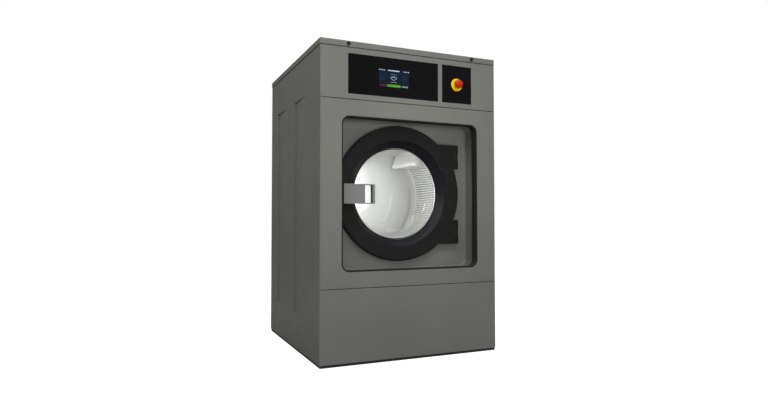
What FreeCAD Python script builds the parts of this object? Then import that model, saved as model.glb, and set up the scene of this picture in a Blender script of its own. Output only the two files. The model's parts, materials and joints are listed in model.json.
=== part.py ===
import FreeCAD, Part
import math
import os
import re
import Sketcher

# Front-loading industrial washing machine with a sprung wash group, in millimetres.
# +Z is up, +X is to the right seen from the front, +Y points to the back.
# The origin lies on the floor under the middle of the cabinet.

SIZES = {
    # cabinet
    "cabinet_width": 880,
    "cabinet_depth": 910,
    "cabinet_height": 1404,
    "sheet": 2,
    "slip_gap": 0.3,
    "fit_gap": 0.1,
    "run_gap": 0.05,
    "overcut": 1,
    "plinth_height": 12,
    "lid_height": 26,
    "lid_overhang": 2,
    "seam_gap": 3,
    "panel_return": 18,
    "fascia_height": 255,
    "front_height": 820.5,
    "cap_radius": 9,
    "cap_length": 5,
    "cap_offset": 313,
    # side panel pressings
    "press_depth": 7,
    "press_length": 208,
    "press_bottom": 182,
    "press_drop": 178,
    "press_front_edge": 35,
    "press_rear_edge": 314,
    # base frame and corner posts
    "base_height": 90,
    "base_flange": 60,
    "base_wall": 5,
    "anchor_radius": 7,
    "anchor_inset": 30,
    "beam_place": 220,
    "beam_width": 160,
    "post_size": 40,
    "post_wall": 3,
    # front cut-out and its seal
    "opening_width": 685,
    "opening_height": 678,
    "opening_rise": 70.5,
    "opening_corner": 36,
    "opening_lip": 12,
    "seal_wall": 3,
    "seal_setback": 3,
    "seal_depth": 42,
    # control fascia
    "glass_left": 314,
    "glass_width": 444,
    "glass_rise": 24.5,
    "glass_height": 176.5,
    "glass_thickness": 4,
    "glass_proud": 0.5,
    "display_left": 175,
    "display_width": 157,
    "display_rise": 36.5,
    "display_height": 90,
    "plate_spacing": 22,
    "plate_width": 158,
    "control_box_inset": 14,
    "control_box_depth": 60,
    # emergency stop
    "stop_collar_radius": 30,
    "stop_collar_height": 3,
    "stop_stem_radius": 8,
    "stop_hole_radius": 11.2,
    "stop_neck_radius": 10.5,
    "stop_head_radius": 20,
    "stop_head_gap": 8,
    "stop_head_height": 22,
    "stop_travel": 5,
    "stop_block_size": 44,
    "stop_block_depth": 46,
    # recessed surround behind the front panel
    "recess_depth": 123,
    "recess_width": 704,
    "recess_height": 692,
    "recess_corner": 40,
    "recess_rim": 14,
    # door
    "door_x": -20,
    "door_rise": 10,
    "door_gap": 0.6,
    "ring_radius": 315,
    "ring_bore": 248,
    "ring_front_depth": 94,
    "ring_edge": 6,
    "funnel_step": 14,
    "funnel_radius": 216,
    "funnel_depth": 143,
    "funnel_wall": 6,
    "plug_radius": 240,
    "bowl_flange": 231,
    "bowl_mouth": 211,
    "bowl_shoulder": 194,
    "bowl_floor": 150,
    "bowl_depth": 70,
    "bowl_wall": 6,
    # door hinge
    "hinge_reach": 2,
    "hinge_round": 17,
    "hinge_clear": 1,
    "hinge_spread": 182,
    "lug_height": 114,
    "knuckle_height": 38,
    "knuckle_radius": 15,
    "knuckle_slot": 1,
    "hinge_pin_radius": 6,
    # door handle
    "handle_left": 318,
    "handle_width": 148,
    "handle_height": 88,
    "handle_drop": 52,
    "handle_depth": 40,
    "handle_thickness": 23,
    "handle_skin": 4,
    "window_offset": 100,
    "window_width": 36,
    "window_rail": 4,
    "handle_pivot_inset": 28,
    "handle_pivot_back": 14,
    "handle_barrel": 12,
    "handle_ear": 10,
    "handle_pin_radius": 5,
    "latch_reach": 12,
    "latch_height": 24,
    "keeper_width": 8,
    "keeper_depth": 36,
    "keeper_height": 60,
    # tub
    "tub_side_gap": 34,
    "tub_wall": 2.5,
    "tub_plate": 4,
    "tub_back": 6,
    "mouth_radius": 260,
    "gasket_wall": 10,
    "gasket_depth": 10,
    "sump_place": -150,
    "sump_radius": 38,
    "sump_wall": 3,
    "sump_drop": 25,
    "funnel_place": 100,
    "funnel_offset": -130,
    "funnel_rise": 20,
    "heater_radius": 5,
    "heater_spacing": 40,
    "heater_length": 420,
    # drum
    "drum_tub_gap": 27.5,
    "drum_wall": 2,
    "drum_gap": 10,
    "drum_mouth": 262,
    "drum_dish": 22,
    "dish_radius": 80,
    "dish_slope": 50,
    "back_rim": 3,
    "lifter_height": 88,
    "lifter_base": 130,
    "lifter_nose": 36,
    "lifter_length": 325,
    "spider_thickness": 32,
    "spider_hub": 62,
    "spider_arm": 60,
    "spider_gap": 8,
    # drive
    "shaft_radius": 30,
    "bearing_radius": 55,
    "bearing_width": 25,
    "housing_length": 94,
    "housing_flange": 150,
    "housing_radius": 90,
    "flange_thickness": 14,
    "pulley_radius": 200,
    "pulley_width": 40,
    "pulley_gap": 40,
    "pulley_clear": 28,
    "pulley_rim": 20,
    "pulley_web": 10,
    "pulley_hub": 48,
    "belt_thickness": 6,
    "belt_margin": 3,
    "motor_radius": 95,
    "motor_length": 300,
    "motor_gap": 14,
    "motor_angle": 46.8,
    "motor_clear": 24,
    "motor_shaft_radius": 14,
    "motor_shaft_seat": 60,
    "motor_pulley_radius": 45,
    "bracket_width": 120,
    "bracket_length": 40,
    "bracket_inset": 30,
    # suspension
    "rail_spacing": 260,
    "rail_width": 60,
    "rail_height": 30,
    "rail_length": 610,
    "saddle_place": 225,
    "saddle_thickness": 12,
    "saddle_half_width": 200,
    "saddle_beam": 35,
    "saddle_drop": 318,
    "spring_height": 90,
    "spring_radius": 40,
    "spring_waist": 30,
    "spring_offset": 35,
    "damper_radius": 28,
    "damper_height": 62,
    "damper_bore_floor": 12,
    "rod_radius": 8,
    "rod_dip": 30,
    # back
    "cover_width": 620,
    "cover_height": 560,
    "cover_overlap": 20,
    "slot_length": 150,
    "slot_height": 8,
    "slot_pitch": 30,
    "slot_spread": 160,
    "inlet_drop": 114,
    "inlet_radius": 13.2,
    "inlet_stub": 26,
    "tail_shoulder": 3,
    "tail_standoff": 4,
    "valve_size": 56,
    "valve_depth": 60,
    "cold_inlet_place": -330,
    "hot_inlet_place": -230,
    "fill_radius": 16,
    "fill_bore": 13,
    "air_gap": 40,
    "dosing_place": 0,
    "dosing_pitch": 30,
    "dosing_radius": 6,
    "dosing_stub": 20,
    "gland_place": 130,
    "gland_radius": 14,
    "gland_nut": 20,
    "gland_bore": 7,
    "gland_length": 24,
    "inverter_place": 290,
    "inverter_width": 200,
    "inverter_height": 150,
    "inverter_depth": 80,
    "drain_height": 140,
    "drain_radius": 37.5,
    "drain_wall": 3,
    "drain_stub": 28,
    "drain_body": 46,
    "drain_top": 185,
    "drain_foot": 26,
    "hose_wall": 4,
    "hose_grip": 18,
}

doc = FreeCAD.newDocument("washing_machine")
sheet = doc.addObject("Spreadsheet::Sheet", "Sizes")
for row, (alias, value) in enumerate(SIZES.items(), start=1):
    sheet.set(f"A{row}", alias)
    sheet.set(f"B{row}", str(value))
    sheet.setAlias(f"B{row}", alias)
doc.recompute()

X_AXIS = FreeCAD.Vector(1, 0, 0)
Y_AXIS = FreeCAD.Vector(0, 1, 0)
UPRIGHT = FreeCAD.Rotation()
ALONG_Y = FreeCAD.Rotation(X_AXIS, -90)
pieces = []


# Helpers: every size is a text formula of the names in the sheet


def sheet_name(word):
    name = word.group()
    return "Sizes." + name if name in SIZES else name


def bind(item, prop, formula):
    item.setExpression(prop, re.sub(r"[a-z_]+", sheet_name, formula))


def place(item, rotation, x, y, z):
    item.Placement = FreeCAD.Placement(FreeCAD.Vector(), rotation)
    bind(item, "Placement.Base.x", x)
    bind(item, "Placement.Base.y", y)
    bind(item, "Placement.Base.z", z)


def block(name, x, y, z):
    """Box between two formulas on each axis."""
    box = doc.addObject("Part::Box", name)
    bind(box, "Length", f"{x[1]} - ({x[0]})")
    bind(box, "Width", f"{y[1]} - ({y[0]})")
    bind(box, "Height", f"{z[1]} - ({z[0]})")
    place(box, UPRIGHT, x[0], y[0], z[0])
    return box


def rod(name, at, radius, along):
    """Cylinder along Y, with its axis at (x, z)."""
    cylinder = doc.addObject("Part::Cylinder", name)
    bind(cylinder, "Radius", radius)
    bind(cylinder, "Height", f"{along[1]} - ({along[0]})")
    place(cylinder, ALONG_Y, at[0], along[0], at[1])
    return cylinder


def pillar(name, at, radius, along):
    """Cylinder along Z, with its axis at (x, y)."""
    cylinder = doc.addObject("Part::Cylinder", name)
    bind(cylinder, "Radius", radius)
    bind(cylinder, "Height", f"{along[1]} - ({along[0]})")
    place(cylinder, UPRIGHT, at[0], at[1], along[0])
    return cylinder


def cut(name, base, *tools):
    result = doc.addObject("Part::Cut", name)
    result.Base = base
    result.Tool = tools[0] if len(tools) == 1 else fuse(name + "_tools", *tools)
    return result


def fuse(name, *shapes):
    result = doc.addObject("Part::MultiFuse", name)
    result.Shapes = list(shapes)
    result.Refine = True
    return result


def common(name, base, tool):
    result = doc.addObject("Part::Common", name)
    result.Base = base
    result.Tool = tool
    return result


def group(name, items):
    result = doc.addObject("Part::Compound", name)
    result.Links = list(items)
    return result


def piece(label, item):
    item.Label = label
    pieces.append(item)
    return item


def outline(body, plane, points, offset):
    """Closed polygon sketch whose corners are pinned to formulas."""
    sketch = body.newObject("Sketcher::SketchObject", body.Name + "_outline")
    origin_plane = next(item for item in body.Origin.OriginFeatures if item.Role == plane)
    sketch.AttachmentSupport = [(origin_plane, "")]
    sketch.MapMode = "FlatFace"
    bind(sketch, "AttachmentOffset.Base.z", offset)
    count = len(points)
    turns = [2 * math.pi * index / count for index in range(count)]
    starts = [FreeCAD.Vector(math.cos(turn), math.sin(turn), 0) for turn in turns]
    for index in range(count):
        sketch.addGeometry(Part.LineSegment(starts[index], starts[(index + 1) % count]), False)
    for index in range(count):
        sketch.addConstraint(Sketcher.Constraint("Coincident", index, 2, (index + 1) % count, 1))
    for index, (across, upward) in enumerate(points):
        start = starts[index]
        number = sketch.addConstraint(Sketcher.Constraint("DistanceX", -1, 1, index, 1, start.x))
        bind(sketch, f"Constraints[{number}]", across)
        number = sketch.addConstraint(Sketcher.Constraint("DistanceY", -1, 1, index, 1, start.y))
        bind(sketch, f"Constraints[{number}]", upward)
    return sketch


def turned(name, at, profile):
    """Body turned about an axis along Y through (x, z); the profile is (radius, y) corners."""
    body = doc.addObject("PartDesign::Body", name)
    sketch = outline(body, "XZ_Plane", profile, "0")
    turn = body.newObject("PartDesign::Revolution", name + "_turn")
    turn.Profile = sketch
    turn.ReferenceAxis = (sketch, ["V_Axis"])
    turn.Angle = 360
    place(body, ALONG_Y, at[0], "0", at[1])
    return body


def prism(name, plane, points, along):
    """Body padded from a polygon along the normal of its plane."""
    body = doc.addObject("PartDesign::Body", name)
    offset = f"-({along[1]})" if plane == "XZ_Plane" else along[0]
    pad = body.newObject("PartDesign::Pad", name + "_pad")
    pad.Profile = outline(body, plane, points, offset)
    bind(pad, "Length", f"{along[1]} - ({along[0]})")
    return body


def rectangle(x, z):
    return [(x[0], z[0]), (x[1], z[0]), (x[1], z[1]), (x[0], z[1])]


def rounded_block(name, x, y, z, radius):
    """Box with its four edges along Y rounded."""
    body = prism(name, "XZ_Plane", rectangle(x, z), y)
    doc.recompute()
    pad = body.Tip
    along = []
    for number, edge in enumerate(pad.Shape.Edges, start=1):
        if edge.BoundBox.YLength > edge.BoundBox.DiagonalLength / 2:
            along.append(f"Edge{number}")
    fillet = body.newObject("PartDesign::Fillet", name + "_corners")
    fillet.Base = (pad, along)
    bind(fillet, "Radius", radius)
    return body


def plus(formula, extra):
    return f"({formula} + {extra})"


def minus(formula, extra):
    return f"({formula} - {extra})"


def both(formula):
    """Span from minus to plus a formula."""
    return (f"-({formula})", f"({formula})")


# Places that several pieces share

half_width = "(cabinet_width / 2)"
inner_half_width = "(cabinet_width / 2 - sheet)"
front = "(-cabinet_depth / 2)"
back = "(cabinet_depth / 2)"
front_inner = plus(front, "sheet")
back_inner = minus(back, "sheet")
return_end = plus(front, "panel_return")
lid_bottom = "(cabinet_height - lid_height)"
panel_top = minus(lid_bottom, "seam_gap")
fascia_seam = "(cabinet_height - fascia_height)"
lower_seam = minus(fascia_seam, "front_height")
opening_bottom = plus(lower_seam, "opening_rise")
opening_middle = plus(opening_bottom, "opening_height / 2")
recess_floor = plus(front, "recess_depth")
recess_back = plus(recess_floor, "sheet")
tub_front = plus(recess_back, "tub_plate")
drum_front = plus(tub_front, "drum_gap")
pulley_rear = minus(back_inner, "pulley_clear")
pulley_front = minus(pulley_rear, "pulley_width")
housing_rear = minus(pulley_front, "pulley_gap")
tub_rear = minus(housing_rear, "housing_length")
tub_rear_inner = minus(tub_rear, "tub_back")
spider_rear = minus(tub_rear_inner, "spider_gap")
drum_rear = minus(spider_rear, "spider_thickness")
shaft_end = plus(pulley_rear, "pulley_clear / 5")
axis_z = plus(opening_middle, "door_rise")
AXIS = ("door_x", axis_z)
tub_radius = f"({half_width} + door_x - tub_side_gap)"
tub_inner = minus(tub_radius, "tub_wall")
drum_radius = minus(tub_inner, "drum_tub_gap")
drum_inner = minus(drum_radius, "drum_wall")
ring_front = plus(front, "ring_front_depth")
ring_back = minus(recess_floor, "door_gap")
hinge_x = "(door_x + ring_radius + hinge_reach - hinge_round)"
hinge_y = minus(recess_floor, "(hinge_round + hinge_clear)")
motor_distance = plus(tub_radius, "motor_radius + motor_gap")
inlet_z = "(cabinet_height - inlet_drop)"
tail_start = plus(back, "tail_standoff")
beam_top = "(base_height - base_wall)"
rail_bottom = plus(beam_top, "spring_height")
sump_low = f"({axis_z} - {tub_radius} - sump_drop)"
funnel_seat = f"({axis_z} + sqrt({tub_radius}^2 - funnel_offset^2))"
funnel_top = plus(funnel_seat, "funnel_rise")


def towards_motor(distance, sideways):
    """Point in the plane of the pulleys, at a distance from the drum axis towards the motor."""
    across = "cos(motor_angle * 1 deg)"
    upward = "sin(motor_angle * 1 deg)"
    x = f"(door_x + {distance} * {across} - ({sideways}) * {upward})"
    z = f"({axis_z} + {distance} * {upward} + ({sideways}) * {across})"
    return x, z


MOTOR = towards_motor(motor_distance, "0")
rail_top = plus(rail_bottom, "rail_height")


# Base frame: a ring of channel with two cross beams welded in, and corner posts


def make_base():
    width = inner_half_width
    depth = both(back_inner)
    body = block("base_body", both(width), depth, ("0", "base_height"))
    well = block("base_well", both(f"{width} - base_flange"), both(f"{back_inner} - base_flange"),
                 ("-1 * overcut", "base_height + overcut"))
    channel = block("base_channel", both(f"{width} - base_wall"), both(f"{back_inner} - base_wall"),
                    ("base_wall", "base_height - base_wall"))
    holes = []
    for side in ("-", ""):
        for end in ("-", ""):
            at = (f"{side}({width} - anchor_inset)", f"{end}({back_inner} - anchor_inset)")
            holes.append(pillar("anchor_hole", at, "anchor_radius", ("-1 * overcut", "base_wall + overcut")))
    ring = cut("base_ring", body, well, channel, *holes)
    beams = []
    for end in ("-", ""):
        middle = f"{end}(beam_place)"
        span = (minus(middle, "beam_width / 2"), plus(middle, "beam_width / 2"))
        inside = (plus(span[0], "base_wall"), minus(span[1], "base_wall"))
        outer = block("beam", both(f"{width} - base_wall"), span, ("base_wall", beam_top))
        hollow = block("beam_hollow", both(width), inside, ("2 * base_wall", f"{beam_top} - base_wall"))
        beams.append(cut("beam_tube", outer, hollow))
    piece("base_frame", fuse("base_frame", ring, *beams))


def make_posts():
    posts = []
    for left in (True, False):
        for forward in (True, False):
            x = outer_span(left, "sheet", "sheet + post_size")
            leg = outer_span(left, "sheet + post_wall", "sheet + post_size + overcut")
            y = (return_end, plus(return_end, "post_size"))
            gap = (plus(return_end, "post_wall"), plus(return_end, "post_size + overcut"))
            if not forward:
                y = (minus(back_inner, "post_size"), back_inner)
                gap = (minus(back_inner, "(post_size + overcut)"), minus(back_inner, "post_wall"))
            height = ("base_height", "cabinet_height - sheet")
            posts.append(cut("post", block("post_bar", x, y, height), block("post_inside", leg, gap, height)))
    piece("corner_posts", group("corner_posts", posts))


def outer_span(left, near, far):
    """Span on X between two distances in from the cabinet's left or right face."""
    if left:
        return (f"({near}) - {half_width}", f"({far}) - {half_width}")
    return (f"{half_width} - ({far})", f"{half_width} - ({near})")


# Sheet metal: side panels with ramped pressings, lid, fascia, front and lower panels


def make_side_panel(label, left):
    skin = block("side_skin", outer_span(left, "0", "sheet"), (front, back), ("plinth_height", panel_top))
    sign = "-1" if left else "1"
    shells = [skin]
    pockets = []
    for edge in ("-(press_front_edge)", "press_rear_edge"):
        start = minus(edge, "press_length")

        def at(depth, y):
            return (f"{sign} * ({half_width} - ({depth}))", y)

        bulge = [at("sheet / 2", minus(start, "sheet")), at("sheet", start), at("press_depth + sheet", edge),
                 at("press_depth + sheet", plus(edge, "sheet")), at("sheet / 2", plus(edge, "sheet"))]
        ramp = [at("-1 * overcut", start), at("0", start), at("press_depth", edge), at("-1 * overcut", edge)]
        low = "press_bottom"
        high = minus(panel_top, "press_drop")
        shells.append(prism("press_bulge", "XY_Plane", bulge, (minus(low, "sheet"), plus(high, "sheet"))))
        pockets.append(prism("press_pocket", "XY_Plane", ramp, (low, high)))
    piece(label, cut(label, fuse("side_shell", *shells), *pockets))


def make_lid():
    x = f"{half_width} + lid_overhang"
    y = (minus(front, "slip_gap"), plus(back, "lid_overhang"))
    outer = block("lid_outer", both(x), y, (lid_bottom, "cabinet_height"))
    inner_y = (plus(y[0], "sheet"), minus(y[1], "sheet"))
    inner_z = (minus(lid_bottom, "overcut"), "cabinet_height - sheet")
    inner = block("lid_inner", both(f"{x} - sheet"), inner_y, inner_z)
    piece("top_lid", cut("top_lid", outer, inner))
    caps = []
    middle = "(cabinet_height - lid_height / 2)"
    for side in ("-", ""):
        at = (f"{side}(cap_offset)", middle)
        caps.append(rod("lid_cap", at, "cap_radius", (minus(y[0], "cap_length"), y[0])))
    piece("lid_caps", group("lid_caps", caps))


def pan(name, x, z):
    """Front sheet with edges folded back all round."""
    outer = block(name + "_outer", x, (front, return_end), z)
    inner = block(name + "_inner", (plus(x[0], "sheet"), minus(x[1], "sheet")),
                  (front_inner, plus(return_end, "overcut")), (plus(z[0], "sheet"), minus(z[1], "sheet")))
    return cut(name + "_pan", outer, inner)


front_half = minus(inner_half_width, "slip_gap")
GLASS_Z = (f"({fascia_seam} + glass_rise)", f"({fascia_seam} + glass_rise + glass_height)")
GLASS_X = ("-(glass_left)", "(glass_width - glass_left)")
PLATE_X = (plus(GLASS_X[1], "plate_spacing"), plus(GLASS_X[1], "plate_spacing + plate_width"))
DISPLAY_X = ("-(display_left)", "(display_width - display_left)")
DISPLAY_Z = (f"({GLASS_Z[0]} + display_rise)", f"({GLASS_Z[0]} + display_rise + display_height)")
glass_face = minus(front, "glass_proud")
glass_rear = plus(glass_face, "glass_thickness")
STOP = (f"(({PLATE_X[0]} + {PLATE_X[1]}) / 2)", f"(({GLASS_Z[0]} + {GLASS_Z[1]}) / 2 - 2 * glass_proud)")


def wider(span, margin):
    return (minus(span[0], margin), plus(span[1], margin))


def make_fascia():
    z = (f"({fascia_seam} + seam_gap / 2)", panel_top)
    through = (f"{front} - overcut", f"{front_inner} + overcut")
    windows = [block("fascia_window", wider(x, "slip_gap"), through, wider(GLASS_Z, "slip_gap"))
               for x in (GLASS_X, PLATE_X)]
    piece("control_fascia", cut("control_fascia", pan("fascia", both(front_half), z), *windows))

    sheet_glass = block("control_glass_sheet", GLASS_X, (glass_face, glass_rear), GLASS_Z)
    window = block("display_window", wider(DISPLAY_X, "slip_gap"), wider((glass_face, glass_rear), "overcut"),
                   wider(DISPLAY_Z, "slip_gap"))
    piece("control_glass", cut("control_glass", sheet_glass, window))
    display_y = (plus(glass_face, "run_gap"), glass_rear)
    piece("display_module", block("display_module", DISPLAY_X, display_y, DISPLAY_Z))
    inset_x = wider(GLASS_X, "-1 * control_box_inset")
    inset_z = wider(GLASS_Z, "-1 * control_box_inset")
    box_y = (glass_rear, plus(glass_rear, "control_box_depth"))
    piece("controller_box", block("controller_box", inset_x, box_y, inset_z))

    plate = block("stop_plate_sheet", PLATE_X, (glass_face, glass_rear), GLASS_Z)
    hole = rod("stop_hole", STOP, "stop_hole_radius", wider((glass_face, glass_rear), "overcut"))
    piece("estop_plate", cut("estop_plate", plate, hole))


def make_front_panels():
    z = (plus(lower_seam, "seam_gap / 2"), minus(fascia_seam, "seam_gap / 2"))
    x_hole = both("opening_width / 2")
    z_hole = (opening_bottom, f"({opening_bottom} + opening_height)")
    collar = rounded_block("opening_collar", wider(x_hole, "sheet"), (front, plus(front, "opening_lip")),
                           wider(z_hole, "sheet"), "opening_corner + sheet")
    hole_y = wider((front, plus(front, "opening_lip")), "overcut")
    hole = rounded_block("opening_hole", x_hole, hole_y, z_hole, "opening_corner")
    shell = fuse("front_shell", pan("front", both(front_half), z), collar)
    piece("front_panel", cut("front_panel", shell, hole))

    seal_y = (plus(front, "seal_setback"), plus(front, "seal_setback + seal_depth"))
    outer = rounded_block("seal_outer", wider(x_hole, "-1 * fit_gap"), seal_y, wider(z_hole, "-1 * fit_gap"),
                          "opening_corner - fit_gap")
    inset = "-1 * (fit_gap + seal_wall)"
    inner = rounded_block("seal_inner", wider(x_hole, inset), wider(seal_y, "overcut"), wider(z_hole, inset),
                          "opening_corner - fit_gap - seal_wall")
    piece("opening_seal", cut("opening_seal", outer, inner))

    top = minus(lower_seam, "seam_gap / 2")
    skin = block("lower_skin", both(front_half), (front, front_inner), ("plinth_height", top))
    fold = block("lower_fold", both(front_half), (front, return_end), (minus(top, "sheet"), top))
    piece("lower_front_panel", fuse("lower_front_panel", skin, fold))


# Emergency stop: collar, contact block, sliding stem and turning head


def make_stop():
    collar_face = minus(glass_face, "stop_collar_height")
    head_back = minus(collar_face, "stop_head_gap")
    head_front = minus(head_back, "stop_head_height")
    stem_front = plus(head_front, "stop_head_height / 3")
    block_rear = plus(glass_rear, "stop_block_depth")
    neck_bore = "(stop_neck_radius + slip_gap)"
    piece("estop_collar", turned("estop_collar", STOP, [
        (neck_bore, glass_face), (neck_bore, collar_face),
        ("(stop_collar_radius - stop_collar_height)", collar_face), ("stop_collar_radius", glass_face)]))
    half = "stop_block_size / 2"
    housing = block("stop_housing", (minus(STOP[0], half), plus(STOP[0], half)), (glass_rear, block_rear),
                    (minus(STOP[1], half), plus(STOP[1], half)))
    bore = rod("stop_bore", STOP, neck_bore, (minus(glass_rear, "overcut"), minus(block_rear, "sheet")))
    piece("estop_contact_block", cut("estop_contact_block", housing, bore))
    stem_rear = minus(block_rear, "(sheet + stop_travel + slip_gap)")
    neck_front = plus(head_back, "slip_gap")
    piece("estop_stem", turned("estop_stem", STOP, [
        ("0", stem_front), ("stop_stem_radius", stem_front), ("stop_stem_radius", neck_front),
        ("stop_neck_radius", neck_front), ("stop_neck_radius", stem_rear), ("0", stem_rear)]))
    bore_radius = "(stop_stem_radius + run_gap)"
    bore_floor = minus(stem_front, "slip_gap")
    piece("estop_head", turned("estop_head", STOP, [
        ("0", head_front), ("0.55 * stop_head_radius", plus(head_front, "0.05 * stop_head_height")),
        ("0.85 * stop_head_radius", plus(head_front, "0.2 * stop_head_height")),
        ("stop_head_radius", plus(head_front, "0.45 * stop_head_height")),
        ("stop_head_radius", plus(head_front, "0.75 * stop_head_height")),
        ("0.8 * stop_head_radius", head_back), (bore_radius, head_back), (bore_radius, bore_floor),
        ("0", bore_floor)]))


# Wash group: tub, recessed surround, mouth gasket, heaters


def make_tub():
    shell = turned("tub_wall_body", AXIS, [
        ("bearing_radius + tub_back", tub_rear_inner), (tub_inner, tub_rear_inner), (tub_inner, tub_front),
        (tub_radius, tub_front), (tub_radius, tub_rear), ("bearing_radius + tub_back", tub_rear)])
    sump_top = f"({axis_z} - {tub_radius} + 2 * tub_wall)"
    sump = pillar("sump_tube", ("door_x", "sump_place"), "sump_radius", (sump_low, sump_top))
    sump_bore = pillar("sump_bore", ("door_x", "sump_place"), "sump_radius - sump_wall",
                       (f"{sump_low} - overcut", f"{axis_z} - {drum_radius}"))
    funnel_at = ("door_x + funnel_offset", "funnel_place")
    funnel_low = minus(funnel_seat, "2 * fill_radius")
    inlet = pillar("inlet_funnel", funnel_at, "2 * fill_radius", (funnel_low, funnel_top))
    funnel_hole = (funnel_low, plus(funnel_top, "overcut"))
    inlet_bore = pillar("inlet_bore", funnel_at, "2 * fill_radius - sump_wall", funnel_hole)
    keep_clear = rod("tub_inside", AXIS, tub_inner, (tub_front, tub_rear_inner))
    spouts = cut("tub_spouts", fuse("tub_spout_tubes", sump, inlet), keep_clear)
    piece("tub_shell", cut("tub_shell", fuse("tub_with_spouts", shell, spouts), sump_bore, inlet_bore))
    piece("tub_front_plate", turned("tub_front_plate", AXIS, [
        ("mouth_radius", recess_back), (tub_radius, recess_back), (tub_radius, tub_front),
        ("mouth_radius", tub_front)]))
    gasket_y = (plus(ring_back, "slip_gap"), plus(ring_back, "gasket_depth"))
    piece("mouth_gasket", turned("mouth_gasket", AXIS, ring_profile(
        "mouth_radius - gasket_wall", "mouth_radius - fit_gap", gasket_y)))
    heaters = []
    ring = f"(({tub_inner} + {drum_radius}) / 2)"
    for step in (-1, 0, 1):
        x = f"({step} * heater_spacing)"
        z = f"({axis_z} - sqrt({ring}^2 - {x}^2))"
        heaters.append(rod("heater", (f"door_x + {x}", z), "heater_radius",
                           (minus(tub_rear_inner, "heater_length"), tub_rear_inner)))
    piece("heating_elements", group("heating_elements", heaters))


def make_surround():
    x = both("recess_width / 2")
    z = (f"({opening_middle} - recess_height / 2)", f"({opening_middle} + recess_height / 2)")
    rim_y = plus(front, "(seal_setback + seal_depth + slip_gap)")
    rim = rounded_block("recess_rim_plate", wider(x, "recess_rim"), (rim_y, plus(rim_y, "sheet")),
                        wider(z, "recess_rim"), "recess_corner + recess_rim")
    tray = rounded_block("recess_tray", wider(x, "sheet"), (rim_y, recess_back), wider(z, "sheet"),
                         "recess_corner + sheet")
    hollow = rounded_block("recess_hollow", x, (f"{rim_y} - overcut", recess_floor), z, "recess_corner")
    hole = rod("recess_hole", AXIS, "mouth_radius", wider((recess_floor, recess_back), "overcut"))
    piece("door_surround", cut("door_surround", fuse("recess_shell", rim, tray), hollow, hole))
    keeper_x = (x[0], plus(x[0], "keeper_width"))
    keeper_y = (plus(rim_y, "sheet"), plus(rim_y, "(sheet + keeper_depth)"))
    half = "keeper_height / 2"
    piece("lock_keeper", block("lock_keeper", keeper_x, keeper_y, (minus(axis_z, half), plus(axis_z, half))))


# Suspension: cradle under the tub, rubber spring buffers and dampers on the cross beams


def corner_places(offset):
    """The four places under the rails, at an offset from the cross beams towards the ends."""
    for side in ("-", "+"):
        for end in ("-", ""):
            yield f"(door_x {side} rail_spacing)", f"{end}(beam_place + {offset})"


def make_suspension():
    rails = []
    for side in ("-", "+"):
        middle = f"(door_x {side} rail_spacing)"
        rails.append(block("rail", (minus(middle, "rail_width / 2"), plus(middle, "rail_width / 2")),
                           both("rail_length / 2"), (rail_bottom, rail_top)))
    saddles = []
    wide = "(rail_spacing + rail_width / 2)"
    narrow = "saddle_half_width"
    beam_z = plus(rail_top, "saddle_beam")
    top = minus(axis_z, "saddle_drop")
    shape = [(f"door_x - {wide}", rail_top), (f"door_x + {wide}", rail_top), (f"door_x + {wide}", beam_z),
             (f"door_x + {narrow}", plus(beam_z, "saddle_beam")), (f"door_x + {narrow}", top),
             (f"door_x - {narrow}", top), (f"door_x - {narrow}", plus(beam_z, "saddle_beam")),
             (f"door_x - {wide}", beam_z)]
    for end in ("-", ""):
        middle = f"{end}(saddle_place)"
        span = (minus(middle, "saddle_thickness / 2"), plus(middle, "saddle_thickness / 2"))
        plate = prism("saddle_plate", "XZ_Plane", shape, span)
        seat = rod("saddle_seat", AXIS, plus(tub_radius, "fit_gap"), wider(span, "overcut"))
        saddles.append(cut("saddle", plate, seat))
    piece("tub_cradle", fuse("tub_cradle", *rails, *saddles))

    springs = []
    dampers = []
    rods = []
    for x, y in corner_places("spring_offset"):
        springs.append(spring_buffer(x, y))
    for x, y in corner_places("-1 * (spring_offset + spring_radius / 4)"):
        barrel = pillar("damper_barrel", (x, y), "damper_radius", (beam_top, plus(beam_top, "damper_height")))
        bore = pillar("damper_bore", (x, y), "rod_radius + slip_gap",
                      (plus(beam_top, "damper_bore_floor"), plus(beam_top, "(damper_height + overcut)")))
        dampers.append(cut("damper", barrel, bore))
        rod_low = plus(beam_top, "(damper_height - rod_dip)")
        rods.append(pillar("damper_rod", (x, y), "rod_radius", (rod_low, rail_bottom)))
    piece("suspension_springs", group("suspension_springs", springs))
    piece("damper_cylinders", group("damper_cylinders", dampers))
    piece("damper_rods", group("damper_rods", rods))


def spring_buffer(x, y):
    """Waisted rubber buffer standing on a cross beam."""
    height = "(spring_height - slip_gap)"
    levels = [("spring_radius", "0"), ("spring_radius", f"{height} / 6"), ("spring_waist", f"{height} / 2"),
              ("spring_radius", f"{height} * 5 / 6"), ("spring_radius", height)]
    profile = [("0", beam_top)]
    profile += [(radius, plus(beam_top, level)) for radius, level in levels]
    profile += [("0", plus(beam_top, height))]
    body = doc.addObject("PartDesign::Body", "spring")
    sketch = outline(body, "XZ_Plane", profile, "0")
    turn = body.newObject("PartDesign::Revolution", "spring_turn")
    turn.Profile = sketch
    turn.ReferenceAxis = (sketch, ["V_Axis"])
    place(body, UPRIGHT, x, y, "0")
    return body


# Drum with its back, lifters, spider and shaft


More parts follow.
